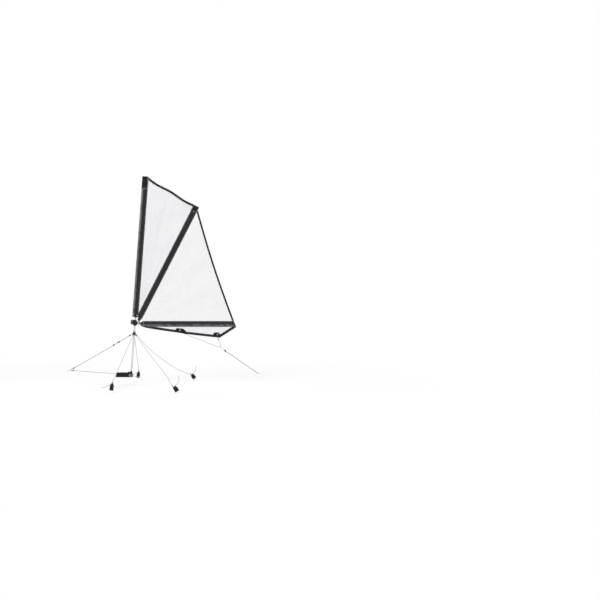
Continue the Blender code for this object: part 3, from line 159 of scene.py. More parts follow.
# Plain weave, dyed black: threads over and under, a dusty bloom, and paler bands that the piece carries:
# painted light along the lit sides of the sleeves
def wovenCloth(name, dark, light, thread, roughness, sheen):
    made, place = surface(name, dark, roughness, Sheen_Weight=sheen, Sheen_Roughness=0.5,
                          Specular_IOR_Level=0.22)
    bands = []
    for turn in (45, -45):  # warp and weft, drawn at a few threads to the ridge so that they show
        turned = addNode(made, "Mapping", place, {"Rotation": (0, radians(turn), 0)})
        bands.append(addNode(made, "TexWave", [("Vector", turned, "Vector")],
                             {"Scale": waveLength / thread, "Distortion": 0.4, "Detail": 1.0}))
    weave = addNode(made, "Math", [(0, bands[0], "Fac"), (1, bands[1], "Fac")], operation="MULTIPLY")
    bloom = addNode(made, "TexNoise", place, {"Scale": 26.0, "Detail": 6.0, "Roughness": 0.65})
    paleBand = addNode(made, "Attribute", attribute_name="lighten")  # painted light: the sleeves carry paler bands where they are lit; patches are paler at their hem and aft edge
    pale = addNode(made, "Math", [(0, weave, "Value"), (1, paleBand, "Fac")], operation="ADD")
    dustAndPaintedLight = addNode(made, "Math", [(0, pale, "Value"), (1, bloom, "Fac")], operation="MULTIPLY")
    # the palest stop is reached only in the bands: painted light on the sleeves, mixed with the dusty
    # bloom
    return finish(made, (dustAndPaintedLight, "Value", (0.05, dark), (0.45, light), (0.8, "#8a888e")),
                  relief=(weave, "Value", 0.35, thread / 2))


# Clear-sail polyester film: smooth and milky, with soft crinkles; its tone follows the crinkles, painted
# greyer in their hollows and paler on their rises as painted shade and light
def filmLaminate(name, colours, alpha):
    made, place = surface(name, colours[1], 0.3, Alpha=alpha, IOR=1.45)
    crinkle = addNode(made, "TexNoise", place,
                      {"Scale": 7.0, "Detail": 4.0, "Roughness": 0.5, "Distortion": 0.5})
    folds = addNode(made, "TexVoronoi", place, {"Scale": 5.0}, feature="DISTANCE_TO_EDGE")
    edge = addNode(made, "Math", [(0, folds, "Distance")], {1: 0.05}, operation="MINIMUM")
    mixed = addNode(made, "Math", [(0, edge, "Value"), (1, crinkle, "Fac")], operation="ADD")
    # painted shade and light: the tone reads the same noise that raises the crinkles
    return finish(made, (crinkle, "Fac", *zip((0.3, 0.5, 0.7), colours)),
                  relief=(mixed, "Value", 0.16, 0.004))


# Glass-filled nylon, injection moulded: satin, with the eroded grain of its mould
def mouldedNylon(name, dark, light):
    made, place = surface(name, dark, 0.45, IOR=1.45, Specular_IOR_Level=0.3)
    grain = addNode(made, "TexNoise", place, {"Scale": 900.0, "Detail": 2.0})
    wear = addNode(made, "TexNoise", place, {"Scale": 55.0, "Detail": 4.0})
    return finish(made, (wear, "Fac", (0.35, dark), (0.75, light)), (wear, "Fac", 0.34, 0.55),
                  (grain, "Fac", 0.2, 0.0003))


def anodisedAluminium():  # drawn tube, clear anodised: silvery, satin, with fine marks along it
    made, place = surface("anodised_aluminium", "#cfd1d3", 0.34, Metallic=1.0)
    along = addNode(made, "Mapping", place, {"Scale": (900, 900, 14)})
    marks = addNode(made, "TexNoise", [("Vector", along, "Vector")], {"Scale": 1.0, "Detail": 3.0})
    cloudy = addNode(made, "TexNoise", place, {"Scale": 18.0, "Detail": 4.0})
    return finish(made, (cloudy, "Fac", (0.3, "#c4c6c9"), (0.7, "#dadcdd")),
                  (marks, "Fac", 0.26, 0.46), (marks, "Fac", 0.08, 0.0002))


def polishedSteel():  # stainless steel, tumbled: bright, with fine scuffs from use
    made, place = surface("stainless_steel", "#b9b9bb", 0.24, Metallic=1.0)
    scuffs = addNode(made, "TexNoise", place, {"Scale": 420.0, "Detail": 5.0, "Distortion": 1.2})
    return finish(made, None, (scuffs, "Fac", 0.16, 0.38), (scuffs, "Fac", 0.08, 0.0002))


def softRubber():  # moulded rubber: black, matt, dusty
    made, place = surface("stop_rubber", "#121213", 0.78)
    dust = addNode(made, "TexNoise", place, {"Scale": 240.0, "Detail": 4.0})
    return finish(made, (dust, "Fac", (0.4, "#0e0e0f"), (0.7, "#29292b")),
                  relief=(dust, "Fac", 0.15, 0.0003))


# Braided polyester cord: crossed strands that follow the cord by its own UV map, slightly furry
def braidedCord(name, dark, light, pitch=0.0011):
    made, place = surface(name, light, 0.75, "UV", Sheen_Weight=0.3)
    strands = []
    for slant in (45, -45):  # the two ways in which the strands wind
        turned = addNode(made, "Mapping", place, {"Rotation": (0, 0, radians(slant))})
        strands.append(addNode(made, "TexWave", [("Vector", turned, "Vector")],
                               {"Scale": waveLength / pitch}))
    cross = addNode(made, "Math", [(0, strands[0], "Fac"), (1, strands[1], "Fac")],
                    operation="MULTIPLY")
    return finish(made, (cross, "Value", (0.0, dark), (0.6, light)),
                  relief=(cross, "Value", 0.5, pitch / 3))


def sewingThread():  # bonded polyester, pale grey, with the twist's light and dark
    made, place = surface("sewing_thread", "#b2b0b6", 0.6, Sheen_Weight=0.2)
    twist = addNode(made, "TexNoise", place, {"Scale": 700.0, "Detail": 2.0})
    return finish(made, (twist, "Fac", (0.35, "#9d9ba2"), (0.65, "#c6c4ca")))


look = {
    "sail_film": filmLaminate("polyester_film", ("#f0f0f6", "#f7f6fb", "#fbfbfd"), 0.36),
    # painted light: a lighter copy of the same film, for the lower panel
    "painted_lit_film": filmLaminate("painted_lit_polyester_film", ("#f4f4f5", "#fafafb", "#fdfdfd"), 0.27),
    "sleeve_cloth": wovenCloth("woven_polyester", "#201f22", "#3d3c41", 0.0011, 0.78, 0.12),
    "patch_cloth": wovenCloth("heavy_woven_nylon", "#08080a", "#1b1a1e", 0.0015, 0.74, 0.06),
    "webbing": wovenCloth("nylon_webbing", "#0d0d0f", "#242427", 0.0018, 0.8, 0.12),
    "moulded_nylon": mouldedNylon("moulded_nylon", "#060607", "#19191b"),
    # painted highlight: a grey copy of the black moulded nylon, for the clamp knob's lit face
    "painted_lit_nylon": mouldedNylon("painted_lit_moulded_nylon", "#4a4a4b", "#717172"),
    "stop_rubber": softRubber(),
    "spar_aluminium": anodisedAluminium(),
    "stainless_steel": polishedSteel(),
    "pale_cord": braidedCord("braided_pale_cord", "#7c7c79", "#c6c6c2"),
    "dark_cord": braidedCord("braided_dark_cord", "#101011", "#3f3f42"),
    "grey_cord": braidedCord("braided_grey_cord", "#2b2b2c", "#68686a"),
    "thread": sewingThread(),
}
for row in frame["record"]["subparts"]:  # what the frame has right keeps its shape and gets its finish
    for slot in frame["nodes"][row["node"]].material_slots:
        slot.material = look[row["material_slot"]]
print("materials done")


# Making and placing pieces

def meshObject(name, bm):
    mesh = bpy.data.meshes.new(name)
    bm.to_mesh(mesh)
    bm.free()
    obj = bpy.data.objects.new(name, mesh)
    bpy.context.scene.collection.objects.link(obj)
    return obj


def newPiece(name, bm, slot, body=None, nodes=(), fixNormals=True):
    if fixNormals:
        bmesh.ops.recalc_face_normals(bm, faces=bm.faces)
    obj = meshObject(name, bm)
    obj.data.shade_smooth()
    obj.data.set_sharp_from_angle(angle=radians(40))
    obj.data.materials.append(look[slot])
    if nodes:
        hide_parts(*nodes)
    if body:
        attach(obj, body)
    return obj


def thicken(obj, thickness, offset):
    wall = obj.modifiers.new("Wall", "SOLIDIFY")
    wall.thickness = thickness
    wall.offset = offset


def softenRims(bm, width):  # bevels the edges of a plate
    rims = [edge for edge in bm.edges if len(edge.link_faces) == 2
            and edge.link_faces[0].normal.angle(edge.link_faces[1].normal) > radians(60)]
    bmesh.ops.bevel(bm, geom=rims, offset=width, segments=2, affect="EDGES", profile=0.5,
                    material=-1)


def smoothRoute(route, step):  # points at about a given step on a smooth curve through a cord's own
    route = [Vector(point) for point in route]
    ends = [route[0] * 2 - route[1], *route, route[-1] * 2 - route[-2]]
    points = [route[0]]
    for before, start, end, after in zip(ends, ends[1:], ends[2:], ends[3:]):
        count = max(1, round((end - start).length / step))
        for i in range(1, count + 1):
            t = i / count
            pullIn, pullOut = (end - before) * 0.5, (after - start) * 0.5
            h1, h2 = 2 * t**3 - 3 * t**2 + 1, t**3 - 2 * t**2 + t
            points.append(start * h1 + pullIn * h2 + end * (1 - h1) + pullOut * (t**3 - t**2))
    return points


def startRing(bm, radius, sides, matrix):
    verts = bmesh.ops.create_circle(bm, cap_ends=False, segments=sides, radius=radius,
                                    matrix=matrix)["verts"]
    return verts, list({edge for vert in verts for edge in vert.link_edges})


def growRing(bm, verts, edges):  # extrudes a ring or a strip, with its points kept in their order
    order = {vert: i for i, vert in enumerate(verts)}
    grown = bmesh.ops.extrude_edge_only(bm, edges=edges)["geom"]
    fresh = {}
    for vert in [item for item in grown if isinstance(item, bmesh.types.BMVert)]:
        others = [edge.other_vert(vert) for edge in vert.link_edges]
        fresh[vert] = next(order[other] for other in others if other in order)
    newEdges = [item for item in grown if isinstance(item, bmesh.types.BMEdge)
                and all(vert in fresh for vert in item.verts)]
    faces = [item for item in grown if isinstance(item, bmesh.types.BMFace)]
    return sorted(fresh, key=fresh.get), newEdges, faces


# A round tube along points, by extruding a circle, with a UV map in metres round and along it
def sweep(bm, points, radius, sides=12, closed=False):
    uv = bm.loops.layers.uv.verify()
    way = (points[1] - points[0]).normalized()
    across = way.orthogonal().normalized()
    turn = Matrix((across, way.cross(across), way)).transposed().to_4x4()
    start, edges = startRing(bm, radius, sides, Matrix.Translation(points[0]) @ turn)
    verts, travelled = start, 0.0
    for i in range(1, len(points)):
        facing = (points[min(i + 1, len(points) - 1)] - points[i - 1]).normalized()
        step = points[i] - points[i - 1]
        places = {vert: (number, travelled) for number, vert in enumerate(verts)}
        verts, edges, faces = growRing(bm, verts, edges)
        bmesh.ops.translate(bm, verts=verts, vec=step)
        bmesh.ops.rotate(bm, verts=verts, cent=points[i],
                         matrix=way.rotation_difference(facing).to_matrix())
        travelled += step.length
        places.update({vert: (number, travelled) for number, vert in enumerate(verts)})
        for face in faces:
            numbers = [places[vert][0] for vert in face.verts]
            wraps = max(numbers) - min(numbers) > 1
            for loop in face.loops:
                number, along = places[loop.vert]
                u = (sides if wraps and number == 0 else number) / sides * 2 * pi * radius
                loop[uv].uv = (u, along)
        way = facing
    if closed:
        bmesh.ops.contextual_create(bm, geom=start)
        bmesh.ops.contextual_create(bm, geom=verts)


def lengthOf(points):
    return sum((b - a).length for a, b in zip(points, points[1:]))


# Cords. Their routes are the frame's own, and the basics hold where a cord says nothing else
cordBasics = {"body": ("rigging", "mast"), "slot": "pale_cord", "diameter": 0.003, "lay": "taut",
              "end": "object", "stiffness": "medium"}
cords = {
    "forestay": {"slot": "dark_cord", "diameter": 0.0034, "route": [
        (0.0092, 0, 0.3601), (-0.1033, 0, 0.2928), (-0.2898, 0, 0.1832), (-0.5050, 0, 0.0606)]},
    "fore_line": {"body": "rigging", "diameter": 0.0034, "route": [
        (-0.5038, 0, 0.0554), (-0.4400, 0, 0.0507), (-0.3000, 0, 0.0405), (-0.1800, 0, 0.0315),
        (-0.1450, 0, 0.0290), (-0.1220, 0, 0.0280), (-0.1080, 0, 0.0280)]},
    "aft_line": {"body": "rigging", "diameter": 0.0034, "lay": "loose", "end": "bare", "route": [
        (0.0065, -0.01365, 0.0155), (0.0160, -0.01365, 0.0152), (0.0300, -0.0145, 0.0105),
        (0.0480, -0.0160, 0.0055), (0.0620, -0.0170, 0.0028), (0.0760, -0.0175, 0.0021)]},
    "stay_fore_left": {"route": [
        (0.0237, -0.0168, 0.3590), (-0.0060, -0.1940, 0.1830), (-0.0365, -0.3780, 0.0080),
        (-0.0373, -0.3800, 0.0016)]},
    "stay_aft_left": {"route": [
        (0.0384, -0.0121, 0.3585), (0.2080, -0.1880, 0.2045), (0.3800, -0.3650, 0.0555),
        (0.4100, -0.3790, 0.0140), (0.4339, -0.3800, -0.0287)]},
    "stay_aft_right": {"lay": "hanging", "route": [
        (0.0384, 0.0121, 0.3585), (0.1250, 0.0950, 0.2330), (0.2267, 0.1900, 0.1236),
        (0.3300, 0.2850, 0.0330), (0.4000, 0.3500, -0.0110), (0.4300, 0.3795, -0.0215),
        (0.4339, 0.3800, -0.0287)]},
    "tail_fore_left": {"body": "rigging", "slot": "dark_cord", "lay": "loose", "end": "bare", "route": [
        (-0.0506, -0.38, -0.0072), (-0.0700, -0.38, -0.0172), (-0.0950, -0.38, -0.0283),
        (-0.1150, -0.38, -0.0370)]},
    "tail_aft_left": {"body": "rigging", "lay": "loose", "end": "bare", "stiffness": "stiff", "route": [
        (0.4468, -0.38, -0.0183), (0.4650, -0.38, -0.0030), (0.4770, -0.38, 0.0120),
        (0.4800, -0.38, 0.0330), (0.4790, -0.38, 0.0569)]},
    "bridle": {"body": "boom", "slot": "grey_cord", "diameter": 0.0026, "stiffness": "limp",
               "with": ["bridle_bead", "sheet_link"], "route": [
        (0.4115, -0.0040, 0.3938), (0.4115, 0.0050, 0.3938), (0.4200, 0.0064, 0.3880),
        (0.4440, 0.0058, 0.3705), (0.4640, 0.0048, 0.3590), (0.4760, 0.0020, 0.3520),
        (0.5300, 0, 0.3310), (0.6048, 0, 0.3035), (0.6695, 0, 0.2764), (0.7106, 0, 0.2604),
        (0.7400, 0, 0.2515), (0.7500, 0, 0.2535), (0.7535, 0, 0.2640), (0.7480, 0, 0.2830),
        (0.7409, 0, 0.2999), (0.7375, 0, 0.3075), (0.7342, 0, 0.3150), (0.7309, 0, 0.3225),
        (0.7298, 0.0046, 0.3310), (0.7292, 0.0062, 0.3430), (0.7276, 0.0064, 0.3530),
        (0.7266, 0.0050, 0.3578), (0.7266, -0.0040, 0.3578)]},
    "sheet": {"body": "boom", "slot": "dark_cord", "diameter": 0.0036, "end": "bare", "route": [
        (0.8013, 0, 0.2124), (0.8467, 0, 0.1830), (0.9156, 0, 0.1352), (0.9950, 0, 0.0795),
        (1.0744, 0, 0.0260)]},
}
for word in ("stay_fore", "tail_fore", "tail_aft"):  # the far side's mirror the near side's
    near = cords[word + "_left"]
    cords[word + "_right"] = dict(near, route=[(x, -y, z) for x, y, z in near["route"]])


def makeCord(name, facts):
    points = smoothRoute(facts["route"], facts["diameter"] * 2.0)
    bm = bmesh.new()
    sweep(bm, points, facts["diameter"] / 2, 12, closed=True)
    obj = newPiece(name + "_cord", bm, facts["slot"], None, [name])
    if isinstance(facts["body"], tuple):  # its foot is on the boat and its head at the mast, so it is baked in place and attached to neither
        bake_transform(obj)
    else:
        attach(obj, facts["body"])
    return obj


for name, facts in cords.items():
    makeCord(name, {**cordBasics, **facts})
print("cords done:", len(cords))


# Sleeves: a folded band round each spar, bulged by the tube and pressed flat at its seams. Rows give
# the half width on the fore or upper side at places along the spar, and lowRows on the other side.
# The last entry tells how much paler the cloth is painted at each share of the width, from -1 at the
# fore edge: painted light where the rounded sleeve is lit
cloth = {"wall": 0.0008, "depth": 0.0165, "flatDepth": 0.0066, "flattening": 0.040,
         "belly": (0.85, 1.6), "rim": (0.15, 0.4), "wrinkle": 0.00176, "folds": 16, "slant": 1.1,
         "across": 2.2, "rings": 0.012, "keepClosed": 0.35}
luff = {"body": "luff", "root": Vector(), "way": mastWay, "flatten": False,
        "rows": [(0.507, 0.0270), (1.682, 0.0270)], "lowRows": [(0.507, 0.0244), (1.682, 0.0244)],
        # painted light: the luff sleeve's fore edge is painted paler
        "paintedLight": lambda share: 1.25 * min(1.0, max(0.0, -share - 0.28) / 0.12)}
sprit = {"body": "sprit", "root": spritRoot, "way": spritWay, "flatten": True,
         "rows": [(0.022, 0.0092), (0.0487, 0.0125), (0.060, 0.0180), (0.074, 0.0250),
                  (1.090, 0.0265)],
         "lowRows": [(0.022, 0.0160), (0.034, 0.0195), (0.046, 0.0226), (0.094, 0.0238),
                     (1.090, 0.0238)],
         # painted light: both edges of the sprit sleeve are painted paler
         "paintedLight": lambda share: 0.45 * max(0.0, abs(share) - 0.55) / 0.45}
boomEdges = {"top": 0.0218, "low": 0.0275}
boom = {"body": "boom", "root": boomRoot, "way": boomWay, "flatten": True,
        "rows": [(0.017, 0.0100), (0.024, 0.0172), (0.034, boomEdges["top"]),
                 (0.796, boomEdges["top"])],
        "lowRows": [(0.017, 0.0165), (0.045, 0.0203), (0.091, boomEdges["low"]),
                    (0.796, boomEdges["low"])],
        # painted light: the lower half of the boom sleeve is painted paler
        "paintedLight": lambda share: min(1.0, max(0.0, share - 0.02) / 0.35)}
patchOff = 0.0014  # how far a patch stands off its sleeve
patchPale = {"hem": 1.4, "edge": 1.6, "from": 0.66, "over": 0.1}  # how pale a patch is, and where
patches = {"head": {"spar": luff, "start": 1.5831, "end": 1.6881, "hem": 0.010},
           "peak": {"spar": sprit, "start": 1.0401, "end": 1.0961, "hem": 0.008}}


def halfWidth(spar, along, low):
    rows = spar["lowRows" if low else "rows"]
    if along <= rows[0][0]:
        return rows[0][1]
    for (start, first), (end, last) in zip(rows, rows[1:]):
        if along <= end:
            return first + (last - first) * (along - start) / (end - start)
    return rows[-1][1]


def beside(spar, along, off):  # a place in the sail's plane, off to the aft or lower side of a spar
    return spar["root"] + spar["way"] * along + aftOf(spar["way"]) * off


# A point on a sleeve's skin: turn 0 is its aft or lower edge, and 90 degrees its far side
def sleevePoint(spar, along, turn, extra=0.0):
    end = spar["rows"][-1][0]
    half = halfWidth(spar, along, cos(turn) > 0) + extra
    flat = max(0.0, min(1.0, 1 - (end - along) / cloth["flattening"])) if spar["flatten"] else 0.0
    depth = cloth["depth"] + (cloth["flatDepth"] - cloth["depth"]) * flat
    bulge = abs(sin(turn))
    profile = sum(share * bulge**power for share, power in (cloth["belly"], cloth["rim"]))
    out = (depth / 2) * profile + extra
    # The cloth drags across the spar in shallow slanting folds
    place = Vector((along * cloth["folds"] + cos(turn) * cloth["slant"], cos(turn) * cloth["across"],
                    3 if sin(turn) > 0 else 7))
    out += cloth["wrinkle"] * max(0.0, noise.noise(place)) * bulge
    side = 1 if sin(turn) >= 0 else -1
    return beside(spar, along, half * cos(turn)) + sideways * (side * out)


# Extrudes a ring, or half of one, along the spar and lays each new row on the sleeve's skin
def sleeveShell(name, spar, start, end, turns, slot, nodes, extra=0.0, hem=0.0):
    bm = bmesh.new()
    verts = first = [bm.verts.new(sleevePoint(spar, start, turn, extra)) for turn in turns]
    edges = [bm.edges.new(pair) for pair in zip(verts, verts[1:] + (verts[:1] if hem else []))]
    steps = max(2, round((end - start) / cloth["rings"]))
    for step in range(1, steps + 1):
        verts, edges, faces = growRing(bm, verts, edges)
        for vert, turn in zip(verts, turns):
            vert.co = sleevePoint(spar, start + (end - start) * step / steps, turn, extra)
    if spar is luff and not hem:
        for vert, turn in zip(first, turns):
            vert.co -= spar["way"] * footTongue(cos(turn))
    if hem:  # a patch is closed over the spar's end and made paler at its hem and aft edge
        bmesh.ops.contextual_create(bm, geom=verts)
    # painted light: each point gets its sleeve's paler band where it is lit; a patch's own paleness
    # replaces it
    lighten = bm.verts.layers.float.new("lighten")
    for vert in bm.verts:
        reach = vert.co - spar["root"]
        along = reach.dot(spar["way"])
        share = reach.dot(aftOf(spar["way"])) / halfWidth(spar, along, False)
        vert[lighten] = spar["paintedLight"](share)
        if hem:
            edge = min(1.0, max(0.0, share - patchPale["from"]) / patchPale["over"]) * patchPale["edge"]
            vert[lighten] = patchPale["hem"] if along < start + hem else edge
    bmesh.ops.recalc_face_normals(bm, faces=bm.faces)
    face = next(iter(bm.faces))
    if face.normal.dot(face.calc_center_median() - spar["root"] - spar["way"] * start) < 0:
        bmesh.ops.reverse_faces(bm, faces=bm.faces)
    obj = newPiece(name, bm, slot, spar["body"], nodes, fixNormals=False)
    thicken(obj, cloth["wall"], -1)
    return obj


wholeTurn = [2 * pi * i / 36 for i in range(36)]
aftHalf = [-pi / 2 + pi * i / 18 for i in range(19)]
foreHalf = [pi / 2 + pi * i / 18 for i in range(19)]
tongue = {"long": 0.011, "middle": 0.15, "half": 0.45}  # its place and width are shares of the sleeve's


def footTongue(across):  # the luff sleeve's foot has a short tongue aft of the mast
    return tongue["long"] * max(0.0, 1 - abs(across - tongue["middle"]) / tongue["half"])


def pressFlat(obj):  # for cloth between two spars that fold together: the piece only gets its own copy of its mesh
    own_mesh(obj)


halves = [  # name, spar, the half, the joint that closes on it, what it replaces
    ("luff_sleeve_fore", luff, foreHalf, None, ["luff_sleeve"]),
    ("luff_sleeve_aft", luff, aftHalf, "sprit_fold", []),
    ("sprit_sleeve_fore", sprit, foreHalf, "sprit_fold", ["sprit_sleeve"]),
    ("sprit_sleeve_aft", sprit, aftHalf, "boom_fold", []),
    ("boom_sleeve_upper", boom, foreHalf, "boom_fold", ["boom_sleeve"]),
    ("boom_sleeve_lower", boom, aftHalf, None, []),
]
for name, spar, turns, joint, nodes in halves:
    made = sleeveShell(name, spar, spar["rows"][0][0], spar["rows"][-1][0], turns, "sleeve_cloth",
                       nodes)
    if joint:
        pressFlat(made)
for word, patch in patches.items():
    sleeveShell(word + "_patch_cloth", patch["spar"], patch["start"], patch["end"], wholeTurn,
                "patch_cloth", [word + "_patch"], patchOff, patch["hem"])
print("sleeves done")


# Film panels and the tapes on their free edges
eyelets = {"fore": Vector((0.4115, 0, 0.3938)), "aft": Vector((0.7266, 0, 0.3578)), "cut": 0.0050,
           "hole": 0.0046}
sail = {"camber": 0.009, "crease": 0.0012, "tuck": 0.002, "inside": 0.0080, "film": 0.0004,
        "leechFoot": 0.857, "rows": 70, "columns": 60, "crowding": 1.2, "draft": 1.02, "waves": 6,
        "waveSlant": 0.35, "seamGap": 0.0006}
tapes = {"thick": 0.0022, "bevel": 0.35, "head": 0.0190, "leech": 0.0152, "foot": 0.0205, "skirt": 0.022}


def edgeOf(spar, along, side, extra):
    return beside(spar, along, side * (halfWidth(spar, along, side > 0) + extra))


def curvedLine(start, end, bow, wave):
    inward = aftOf((end - start).normalized())
    shares = [i / sail["columns"] for i in range(sail["columns"] + 1)]
    return [start.lerp(end, t) + inward * (bow * sin(pi * t) + wave * sin(3 * pi * t)) for t in shares]


def tapeSides(line, width, startWay=None, endWay=None, ceiling=None):
    left, right = [], []
    for i, point in enumerate(line):
        way = (line[min(i + 1, len(line) - 1)] - line[max(i - 1, 0)]).normalized()
        across = aftOf(way)
        cut = {0: startWay, len(line) - 1: endWay}.get(i)
        if cut:
            across = cut / cut.dot(across)
        left.append(point - across * (width / 2))
        right.append(point + across * (width / 2))
        if ceiling is not None:
            left[-1].z = min(left[-1].z, ceiling)
    return left, right


def outOf(values, at):  # how far a place lies outside a span
    return max(min(values) - at, 0, at - max(values))


def gridPiece(name, rows, slot, body, nodes, thickness, bevel=0.0, holes=()):  # laid on rows of points
    bm = bmesh.new()
    bmesh.ops.create_grid(bm, x_segments=len(rows[0]) - 1, y_segments=len(rows) - 1, size=1)
    flat = sorted(bm.verts, key=lambda vert: (round(vert.co.y, 5), vert.co.x))
    for vert, point in zip(flat, [point for row in rows for point in row]):
        vert.co = point
    cut = set()
    for face in bm.faces:
        xs, zs = [vert.co.x for vert in face.verts], [vert.co.z for vert in face.verts]
        for hole in holes:
            if Vector((outOf(xs, hole.x), outOf(zs, hole.z))).length < eyelets["cut"]:
                cut.add(face)
    bmesh.ops.delete(bm, geom=list(cut), context="FACES")
    obj = newPiece(name, bm, slot, body, nodes)
    thicken(obj, thickness, 0)
    if bevel:
        soft = obj.modifiers.new("Edge", "BEVEL")
        soft.width = bevel
        soft.segments = 2
        soft.limit_method = "ANGLE"
    return obj


def tapePiece(name, sides, body, nodes, holes=()):  # folded edge tape
    rows = [[a.lerp(b, share) for a, b in zip(*sides)] for share in (0, 0.2, 0.4, 0.6, 0.8, 1)]
    thick = tapes["thick"]
    return gridPiece(name, rows, "patch_cloth", body, nodes, thick, thick * tapes["bevel"], holes)


drapes = {"depth": 0.0030, "across": 7.0, "along": 1.3}
ridges = {"depth": 0.0012, "width": 0.25, "across": 15.0, "slant": (3.0, 9.0)}


def creaseAt(u, v, seed):  # broad drapes from the tack, and narrow ridges that fan from the corners
    fan = noise.noise(Vector((v * drapes["across"], u * drapes["along"], seed)))
    slant = v * ridges["slant"][0] + u * ridges["slant"][1]
    small = noise.noise(Vector((slant, v * ridges["across"], seed + 4)))
    return drapes["depth"] * fan + ridges["depth"] * max(0.0, 1 - abs(small) / ridges["width"])


def panelRows(edges, rim, seed):  # each edge is its spar, start, end and side
    made = []
    for r in range(sail["rows"] + 1):
        u = (r / sail["rows"]) ** sail["crowding"]  # rows crowd together at the tack
        places = [(spar, low + (high - low) * u, side) for spar, low, high, side in edges]
        start, end = [edgeOf(*place, sail["seamGap"] - sail["tuck"]) for place in places]
        # The film runs on inside the sleeves, almost to the spars
        first, last = [beside(spar, along, side * sail["inside"]) for spar, along, side in places]
        row = []
        for c, point in enumerate(rim):
            v = c / (len(rim) - 1)
            hollow = point - rim[0].lerp(rim[-1], v)
            belly = sin(pi * v) * sin(pi * min(1, u * sail["draft"]))
            crease = sail["crease"] * sin(sail["waves"] * pi * (v + sail["waveSlant"] * u)) * belly * u
            still = min(1.0, 8 * v, 8 * (1 - v), 6 * u, 10 * (1 - u))  # no crease crosses an edge
            lift = sail["camber"] * u * belly + crease + creaseAt(u, v, seed) * still
            row.append(start.lerp(end, v) + hollow * u**3 + sideways * lift)
        made.append([first, *row, last])
    return made


def fanPiece(obj, bodies, fromWay, toWay):  # bakes the piece's place into its mesh
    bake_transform(obj)
    return obj


tapeOff = sail["seamGap"] + patchOff
panels = {  # each spar is given with the film's foot on it and its side, and the ends are its tape's
    "upper": {"fan": (("luff", "sprit"), mastWay, spritWay), "tape": "head", "bow": 0.0050,
              "wave": 0.0050, "seed": 1.0, "spars": ((luff, 0.520, 1), (sprit, 0.062, -1)),
              "ends": (edgeOf(luff, 1.671, 1, tapeOff), edgeOf(sprit, 1.0885, -1, tapeOff))},
    "lower": {"fan": (("sprit", "boom"), spritWay, boomWay), "tape": "leech", "bow": 0.012,
              "wave": 0, "seed": 9.0, "spars": ((sprit, 0.042, 1), (boom, 0.030, -1)),
              "ends": (edgeOf(sprit, 1.059, 1, tapeOff), Vector(
                  (sail["leechFoot"], 0, boomRoot.z + boomEdges["top"] + sail["seamGap"])))},
}
for name, panel in panels.items():
    edge, ways = panel["tape"], panel["fan"][1:]
    panel["line"] = curvedLine(*panel["ends"], panel["bow"], panel["wave"])
    sides = tapeSides(panel["line"], tapes[edge], *ways)
    panel["edging"] = fanPiece(tapePiece(edge + "_tape_cloth", sides, None, [edge + "_tape"]),
                               *panel["fan"])
    rim = tapeSides(panel["line"], tapes[edge] - 2 * sail["tuck"], *ways)[1]
    edges = [(spar, foot, (top - spar["root"]).dot(spar["way"]), side)
             for (spar, foot, side), top in zip(panel["spars"], (rim[0], rim[-1]))]
    film = gridPiece(name + "_film", panelRows(edges, rim, panel["seed"]), "sail_film", None,
                     [name + "_panel"], sail["film"])
    panel["film"] = fanPiece(film, *panel["fan"])
panels["lower"]["film"].data.materials[0] = look["painted_lit_film"]  # painted light: the lower panel gets a lighter, more see-through copy of the same film, so it shows brighter

# The skirt under the boom
skirt = {"lowX": 0.7450, "lowZ": 0.3295, "clewX": 0.8845, "clewZ": 0.4185, "clewThick": 0.005,
         "clewRound": 0.0017, "patchThick": 0.0044, "patchRound": 0.004, "ceiling": 0.0125,
         "mitreGap": 0.0003, "ripple": 0.0016, "rippleAlong": 0.14, "rippleDown": 2, "rows": 24,
         "footEdge": [
             (0.0720, 0.4372), (0.0850, 0.4288), (0.1050, 0.4205), (0.1260, 0.4135), (0.1764, 0.4042),
             (0.2268, 0.3965), (0.2772, 0.3890), (0.3276, 0.3818), (0.3780, 0.3745), (0.4284, 0.3669),
             (0.4788, 0.3595), (0.5292, 0.3531), (0.5796, 0.3473), (0.6300, 0.3417), (0.6804, 0.3360)]}
topZ = boomRoot.z - boomEdges["low"] - sail["seamGap"]
lowCorner = Vector((skirt["lowX"], 0, skirt["lowZ"]))
clew = Vector((skirt["clewX"], 0, skirt["clewZ"]))
footEdge = smoothRoute([(x, 0, z) for x, z in skirt["footEdge"]] + [lowCorner], 0.006)
footWay = (lowCorner - footEdge[-4]).normalized()
skirtWay = (clew - lowCorner).normalized()
mitre = (aftOf(footWay) + aftOf(skirtWay)).normalized()
half = tapes["foot"] / 2
footLine = []
for before, point, after in zip(footEdge, footEdge[1:], footEdge[2:]):
    footLine.append(point - aftOf((after - before).normalized()) * half)
footLine[-1] = lowCorner - mitre * (half / mitre.dot(aftOf(footWay))) - footWay * skirt["mitreGap"]
footSides = tapeSides(footLine, tapes["foot"], None, mitre, boomRoot.z - skirt["ceiling"])
holes = (eyelets["fore"], eyelets["aft"])
tapePiece("foot_tape_cloth", footSides, "boom", ["foot_tape"], holes)
half = tapes["skirt"] / 2
riseStart = lowCorner - mitre * (half / mitre.dot(aftOf(skirtWay))) + skirtWay * skirt["mitreGap"]
riseEnd = riseStart + skirtWay * ((topZ - riseStart.z) / skirtWay.z)
rise = [riseStart.lerp(riseEnd, i / skirt["rows"]) for i in range(skirt["rows"] + 1)]
skirtSides = tapeSides(rise, tapes["skirt"], mitre, boomWay)
tapePiece("skirt_tape_cloth", skirtSides, "boom", ["skirt_tape"])
lower = tapeSides(footLine, tapes["foot"] - 2 * sail["tuck"], None, mitre)[0]
corner = riseStart - aftOf(skirtWay) * (half - sail["tuck"])
hit = corner + skirtWay * ((topZ + sail["tuck"] - corner.z) / skirtWay.z)
lower = [point for point in lower if point.z < topZ and point.x < corner.x] + [corner]
rows = []
